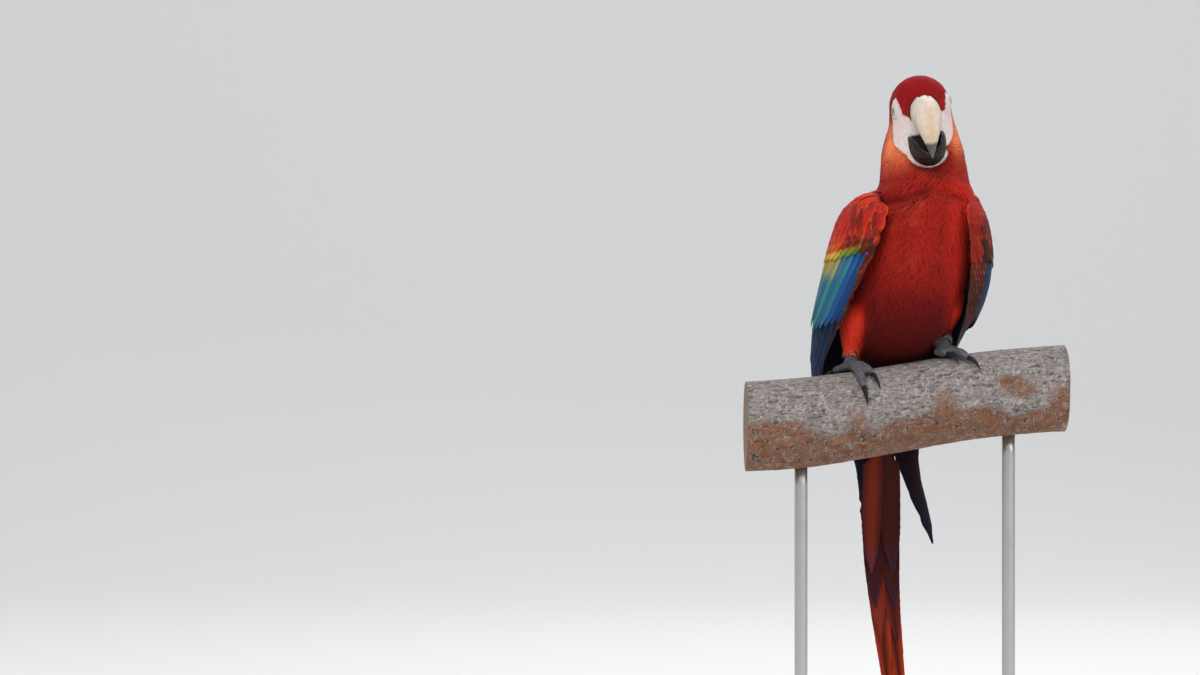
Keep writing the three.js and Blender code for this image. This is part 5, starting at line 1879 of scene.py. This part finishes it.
class MACAW_OT_perch(bpy.types.Operator):
    """Makes the cut branch: weathered bark above, bare tracked wood below, sawn ends"""

    bl_idname = "macaw.perch"
    bl_label = "Perch"

    def execute(self, context):
        low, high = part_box("perch_branch")
        solid = node_surface("perch_branch")
        columns = int((high.x - low.x) / sizes().bark_grain)
        sides = int(math.pi * BRANCH_THICK / sizes().bark_grain)
        xs = np.linspace(low.x + END_DEPTH, high.x - END_DEPTH, columns)
        ways = np.hstack([np.zeros((sides, 1)), *circle(sides)])
        axis = self.axis(xs)
        starts = (axis[:, None] + ways[None] * RAY_REACH).reshape(-1, 3)
        hits = solid.cast(starts, np.tile(-ways, (columns, 1))).reshape(columns, sides, 3)
        radius = self.soften(np.linalg.norm(hits - axis[:, None], axis=-1))
        noise.seed_set(TRACK_SEED)
        raised, colours = self.bark(axis, ways, radius)
        rings = axis[:, None] + ways[None] * raised[:, :, None]
        rings, colours = self.sawn(rings, colours)
        ends = [(0.30, 0.20, 0.12)] * 2
        piece = make_piece("perch", *lofted(rings), np.concatenate([colours.reshape(-1, 3), ends]))
        settle(piece, material(weathered_bark), "bark", "perch_branch")
        return {"FINISHED"}

    @staticmethod
    def axis(xs):
        """A smooth line along the branch's middle, fitted to its sections."""
        points = node_mesh(["perch_branch"])[0]
        middles = []
        for x in xs[::8]:
            slab = points[np.abs(points[:, 0] - x) < AXIS_SLAB]
            middles.append((slab.min(axis=0) + slab.max(axis=0)) / 2)
        middles = np.array(middles)
        y, z = (np.polyval(np.polyfit(xs[::8], middles[:, k], 2), xs) for k in (1, 2))
        return np.stack([xs, y, z], axis=1)

    @staticmethod
    def soften(radius):
        """Rounds the facets away."""
        for _ in range(30):
            radius = (radius + np.roll(radius, 1, axis=1) + np.roll(radius, -1, axis=1)) / 3
            radius[1:-1] = (radius[:-2] + 2 * radius[1:-1] + radius[2:]) / 4
        return radius

    @staticmethod
    def bark(axis, ways, radius):
        """The radius with cracks and tracks worked in, and the colours that go with them."""
        columns, sides = radius.shape
        raised = np.empty_like(radius)
        colours = np.empty((columns, sides, 3))
        for i in range(columns):
            for k in range(sides):
                spot = Vector(axis[i] + ways[k] * radius[i, k]) / MM
                top = ways[k, 2]
                patch = stretched_noise(spot, PATCH_SIZES)
                bare = ramp(0.18, -0.12, top + 0.75 * patch + 0.12)
                warp = noise.noise_vector(spot / WARP_SIZE) * WARP_REACH
                wander = abs(noise.noise((spot + warp) / TRACK_SIZE))
                track = ramp(0.085, 0.03, wander)
                crack = ramp(0.10, 0.02, abs(stretched_noise(spot, CRACK_SIZES))) * (1 - bare)
                lump = noise.noise(spot / LUMP_SIZE)
                sink = bare * (0.9 + 0.9 * track) + 0.8 * crack * (1 - max(top, 0) * 0.6) + 0.25 * lump
                raised[i, k] = radius[i, k] - sink * MM
                bark = blend(BARK_GREY, BARK_PALE, 0.5 + 0.5 * noise.noise(spot / 4.2))
                bark = blend(bark, BARK_GREY * 0.45, crack)
                wood = blend(WOOD_RAW, WOOD_TAN, 0.5 + 0.9 * noise.noise(spot / 11))
                wood = blend(wood, BARK_PALE * 1.15, 0.55 * ramp(0.16, 0.09, wander))
                # The tracks' grooves are painted dark, as the shadow in them.
                wood = blend(wood, WOOD_RAW * 0.42, track)
                colours[i, k] = blend(bark, wood, bare)
        return raised, colours

    @staticmethod
    def sawn(rings, colours):
        """Draws both ends in to flat sawn faces with growth rings."""
        first, last, wood = [], [], []
        for size, light in GROWTH_RINGS:
            for ends, ring, out in ((first, rings[0], -END_DEPTH), (last, rings[-1], END_DEPTH)):
                middle = ring.mean(axis=0)
                drawn = middle + (ring - middle) * size
                drawn[:, 0] = middle[0] + out
                ends.append(drawn)
            wood.append(for_each(ring, SAWN_WOOD * light))
        rings = np.concatenate([first[::-1], rings, last])
        return rings, np.concatenate([wood[::-1], colours, wood])


def weathered_bark(nodes):
    """Weathered wood: flecked, fibrous and dusty."""
    place = nodes.object_place()
    fibres = nodes.noise(nodes.stretched(place, (0.12, 1.0, 1.0)), 700.0, 5.0, 0.6)
    flecks = nodes.noise(place, 520.0, 5.0, 0.7)
    lichen = nodes.ramp(nodes.noise(place, 60.0, 5.0, 0.65), 0.56, 0.70)
    colour = nodes.mix(nodes.ramp(fibres, 0.40, 0.66, 0.0, 0.5), nodes.markings_and_painted_shading(), (0.06, 0.05, 0.05))
    blotches = nodes.noise(place, 190.0, 6.0, 0.75, 0.6)
    parts = nodes.add("ShaderNodeSeparateColor", {0: nodes.markings_and_painted_shading()}).outputs
    dusty = nodes.ramp(nodes.math("SUBTRACT", parts["Red"], parts["Blue"]), 0.04, 0.14, 0.5, 0.08)
    colour = nodes.mix(nodes.times(nodes.ramp(blotches, 0.50, 0.62), dusty), colour, (0.56, 0.52, 0.49))
    colour = nodes.mix(nodes.times(nodes.ramp(flecks, 0.55, 0.72), dusty), colour, (0.62, 0.57, 0.53))
    colour = nodes.mix(nodes.times(lichen, 0.3), colour, (0.44, 0.43, 0.42))
    height = nodes.plus(fibres, nodes.times(flecks, 0.7))
    return {
        "Base Color": colour,
        "Roughness": nodes.ramp(flecks, 0.3, 0.7, 0.78, 0.95),
        "Specular IOR Level": 0.2,
        "Normal": nodes.bump(height, 0.6 * MM, 0.9),
    }


# ---- stand and ring
def lathe(profile, middle, sides):
    """Points and triangles of a round solid from (radius, height) pairs about an upright axis."""
    sines, cosines = circle(sides)
    x_way, y_way, z_way = np.eye(3)
    start = np.array([*middle, 0.0])
    spokes = cosines * x_way + sines * y_way
    return lofted([start + radius * spokes + height * z_way for radius, height in profile])


class MACAW_OT_stand(bpy.types.Operator):
    """Makes the round base and the two rods, and finishes the leg's ring"""

    bl_idname = "macaw.stand"
    bl_label = "Stand"

    def execute(self, context):
        low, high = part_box("stand_base")
        radius, top = (high.x - low.x) / 2, high.z
        bevel = 2.2 * MM
        turns = np.linspace(0, math.pi / 2, 7)
        corner = [(radius - bevel * (1 - math.cos(a)), top - bevel * (1 - math.sin(a))) for a in turns]
        profile = [(radius - bevel / 2, low.z), (radius, low.z + bevel / 2)] + corner + [(radius * 0.5, top)]
        base = make_piece("stand_plate", *lathe(profile, (0, 0), 128))
        settle(base, material(satin_paint), "stand_paint", "stand_base")
        for side in SIDES:
            self.rod(side)
        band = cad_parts["leg_band"]
        band.data.materials.clear()
        band.data.materials.append(material(metal, (0.90, 0.90, 0.90), 0.42, 0.0, name="ring_metal"))
        return {"FINISHED"}

    @staticmethod
    def rod(side):
        low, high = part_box("stand_rod_" + side)
        middle = ((low.x + high.x) / 2, (low.y + high.y) / 2)
        flange = (high.x - low.x) / 2
        shaft = flange / 3
        foot = low.z
        rise = 6 * MM
        profile = [(flange - 0.6 * MM, foot), (flange, foot + 0.6 * MM), (flange, foot + rise - 1.6 * MM),
                   (flange - 0.6 * MM, foot + rise - 0.5 * MM), (flange - 1.8 * MM, foot + rise)]
        fillet = 3.2 * MM
        for angle in np.linspace(0, math.pi / 2, 6):
            out, over = fillet * (1 - math.sin(angle)), fillet * (1 - math.cos(angle))
            profile.append((shaft + out, foot + rise + over))
        profile += [(shaft, foot + 0.05), (shaft, high.z - 0.02), (shaft, high.z)]
        piece = make_piece(f"stand_post_{side}", *lathe(profile, middle, 48))
        steel = material(metal, (0.56, 0.56, 0.57), 0.32, 1.0, name="brushed_rod")
        settle(piece, steel, "stand_steel", "stand_rod_" + side)


def metal(nodes, colour, roughness, lay):
    """Metal with a fine lay of brushing round it."""
    place = nodes.object_place()
    lines = nodes.noise(nodes.stretched(place, (1.0, 1.0, 1.0 + 14.0 * lay)), 900.0, 3.0)
    smudge = nodes.noise(place, 40.0, 3.0)
    dark = tuple(0.6 * part for part in colour)
    return {
        "Base Color": nodes.mix(nodes.ramp(lines, 0.35, 0.7, 0.0, 0.3), colour, dark),
        "Metallic": 1.0,
        "Roughness": nodes.ramp(smudge, 0.3, 0.7, roughness, roughness + 0.14),
        "Normal": nodes.bump(lines, 0.05 * MM, 0.4),
    }


def satin_paint(nodes):
    """Dark satin paint with a fine orange peel and a little dust."""
    place = nodes.object_place()
    peel = nodes.noise(place, 1200.0, 2.0)
    dust = nodes.ramp(nodes.noise(place, 55.0, 5.0, 0.65), 0.5, 0.8)
    return {
        "Base Color": nodes.mix(nodes.times(dust, 0.12), (0.035, 0.036, 0.040), (0.22, 0.21, 0.20)),
        "Roughness": nodes.ramp(dust, 0.0, 1.0, 0.34, 0.55),
        "Normal": nodes.bump(peel, 0.05 * MM, 0.35),
    }


# ---- stage
class MACAW_OT_stage(bpy.types.Operator):
    """Sets the camera, soft lights, pale floor and backdrop"""

    bl_idname = "macaw.stage"
    bl_label = "Stage"

    CAMERA = (-0.329, -3.220, 0.5675)
    FIELD = 1.296  # width of the view at the bird
    SENSOR = 36.0

    def execute(self, context):
        camera = bpy.data.cameras.new("camera")
        camera.sensor_width = self.SENSOR
        camera.lens = self.SENSOR * (-self.CAMERA[1] + ROOST[1]) / self.FIELD
        holder = bpy.data.objects.new("camera", camera)
        holder.location = self.CAMERA
        holder.rotation_euler = (math.radians(90), 0, 0)
        context.scene.collection.objects.link(holder)
        context.scene.camera = holder
        self.backdrop()
        self.light("key", (-0.9, -2.1, 3.4), 2.1, 84)
        self.light("fill", (2.4, -2.4, 2.0), 2.2, 34)
        self.light("rim", (0.6, 2.2, 2.8), 1.6, 34)
        world = bpy.data.worlds.new("studio")
        world.use_nodes = True
        backing = world.node_tree.nodes["Background"]
        backing.inputs["Color"].default_value = (0.93, 0.95, 1.0, 1.0)
        backing.inputs["Strength"].default_value = 0.40
        context.scene.world = world
        context.scene.view_settings.view_transform = "Standard"
        return {"FINISHED"}

    @staticmethod
    def light(name, place, size, power):
        lamp = bpy.data.lights.new(name, "AREA")
        lamp.size = size
        lamp.energy = power
        holder = bpy.data.objects.new(name, lamp)
        holder.location = place
        aim = Vector((0, 0, 0.55)) - Vector(place)
        holder.rotation_euler = aim.to_track_quat("-Z", "Y").to_euler()
        bpy.context.scene.collection.objects.link(holder)

    @staticmethod
    def backdrop():
        """A floor that curves up into a wall behind the display."""
        half, near, far, height, bend = 9.0, -9.0, 6.0, 7.0, 2.8
        profile = [(near, 0.0), (far - bend, 0.0)]
        for angle in np.linspace(0, math.pi / 2, 16)[1:]:
            profile.append((far - bend + bend * math.sin(angle), bend * (1 - math.cos(angle))))
        profile.append((far, height))
        points = np.array([(x, y, z - 0.2 * MM) for y, z in profile for x in (-half, half)])
        count = len(profile)
        faces = np.array([(2 * i, 2 * i + 1, 2 * i + 3, 2 * i + 2) for i in range(count - 1)])
        sweep = make_piece("backdrop", points, faces)
        sweep.data.materials.append(material(pale_backdrop))


def pale_backdrop(nodes):
    return {
        "Base Color": (0.80, 0.80, 0.79),
        "Roughness": 0.9,
        "Emission Color": (0.80, 0.80, 0.80),
        "Emission Strength": 0.22,
    }


# ---- add-on
OPERATORS = (
    MACAW_OT_skin,
    MACAW_OT_head_coat,
    MACAW_OT_body_coat,
    MACAW_OT_thigh_coat,
    MACAW_OT_face,
    MACAW_OT_eyes,
    MACAW_OT_bill,
    MACAW_OT_feet,
    MACAW_OT_wings,
    MACAW_OT_tail,
    MACAW_OT_perch,
    MACAW_OT_stand,
    MACAW_OT_stage,
)


class MACAW_PT_panel(bpy.types.Panel):
    """Lists the steps that make the display"""

    bl_idname = "MACAW_PT_panel"
    bl_label = "Macaw"
    bl_space_type = "VIEW_3D"
    bl_region_type = "UI"
    bl_category = "Macaw"

    def draw(self, context):
        for operator in OPERATORS:
            self.layout.operator(operator.bl_idname)
        for group in (context.scene.macaw_sizes, context.scene.macaw_colours):
            box = self.layout.box()
            for name in own_names(group):
                box.prop(group, name)


CLASSES = (MacawSizes, MacawColours, *OPERATORS, MACAW_PT_panel)


def register():
    for item in CLASSES:
        bpy.utils.register_class(item)
    bpy.types.Scene.macaw_sizes = bpy.props.PointerProperty(type=MacawSizes)
    bpy.types.Scene.macaw_colours = bpy.props.PointerProperty(type=MacawColours)


def unregister():
    del bpy.types.Scene.macaw_colours
    del bpy.types.Scene.macaw_sizes
    for item in reversed(CLASSES):
        bpy.utils.unregister_class(item)


def main():
    register()
    for operator in OPERATORS:
        group, name = operator.bl_idname.split(".")
        getattr(getattr(bpy.ops, group), name)()


if __name__ == "__main__":
    main()
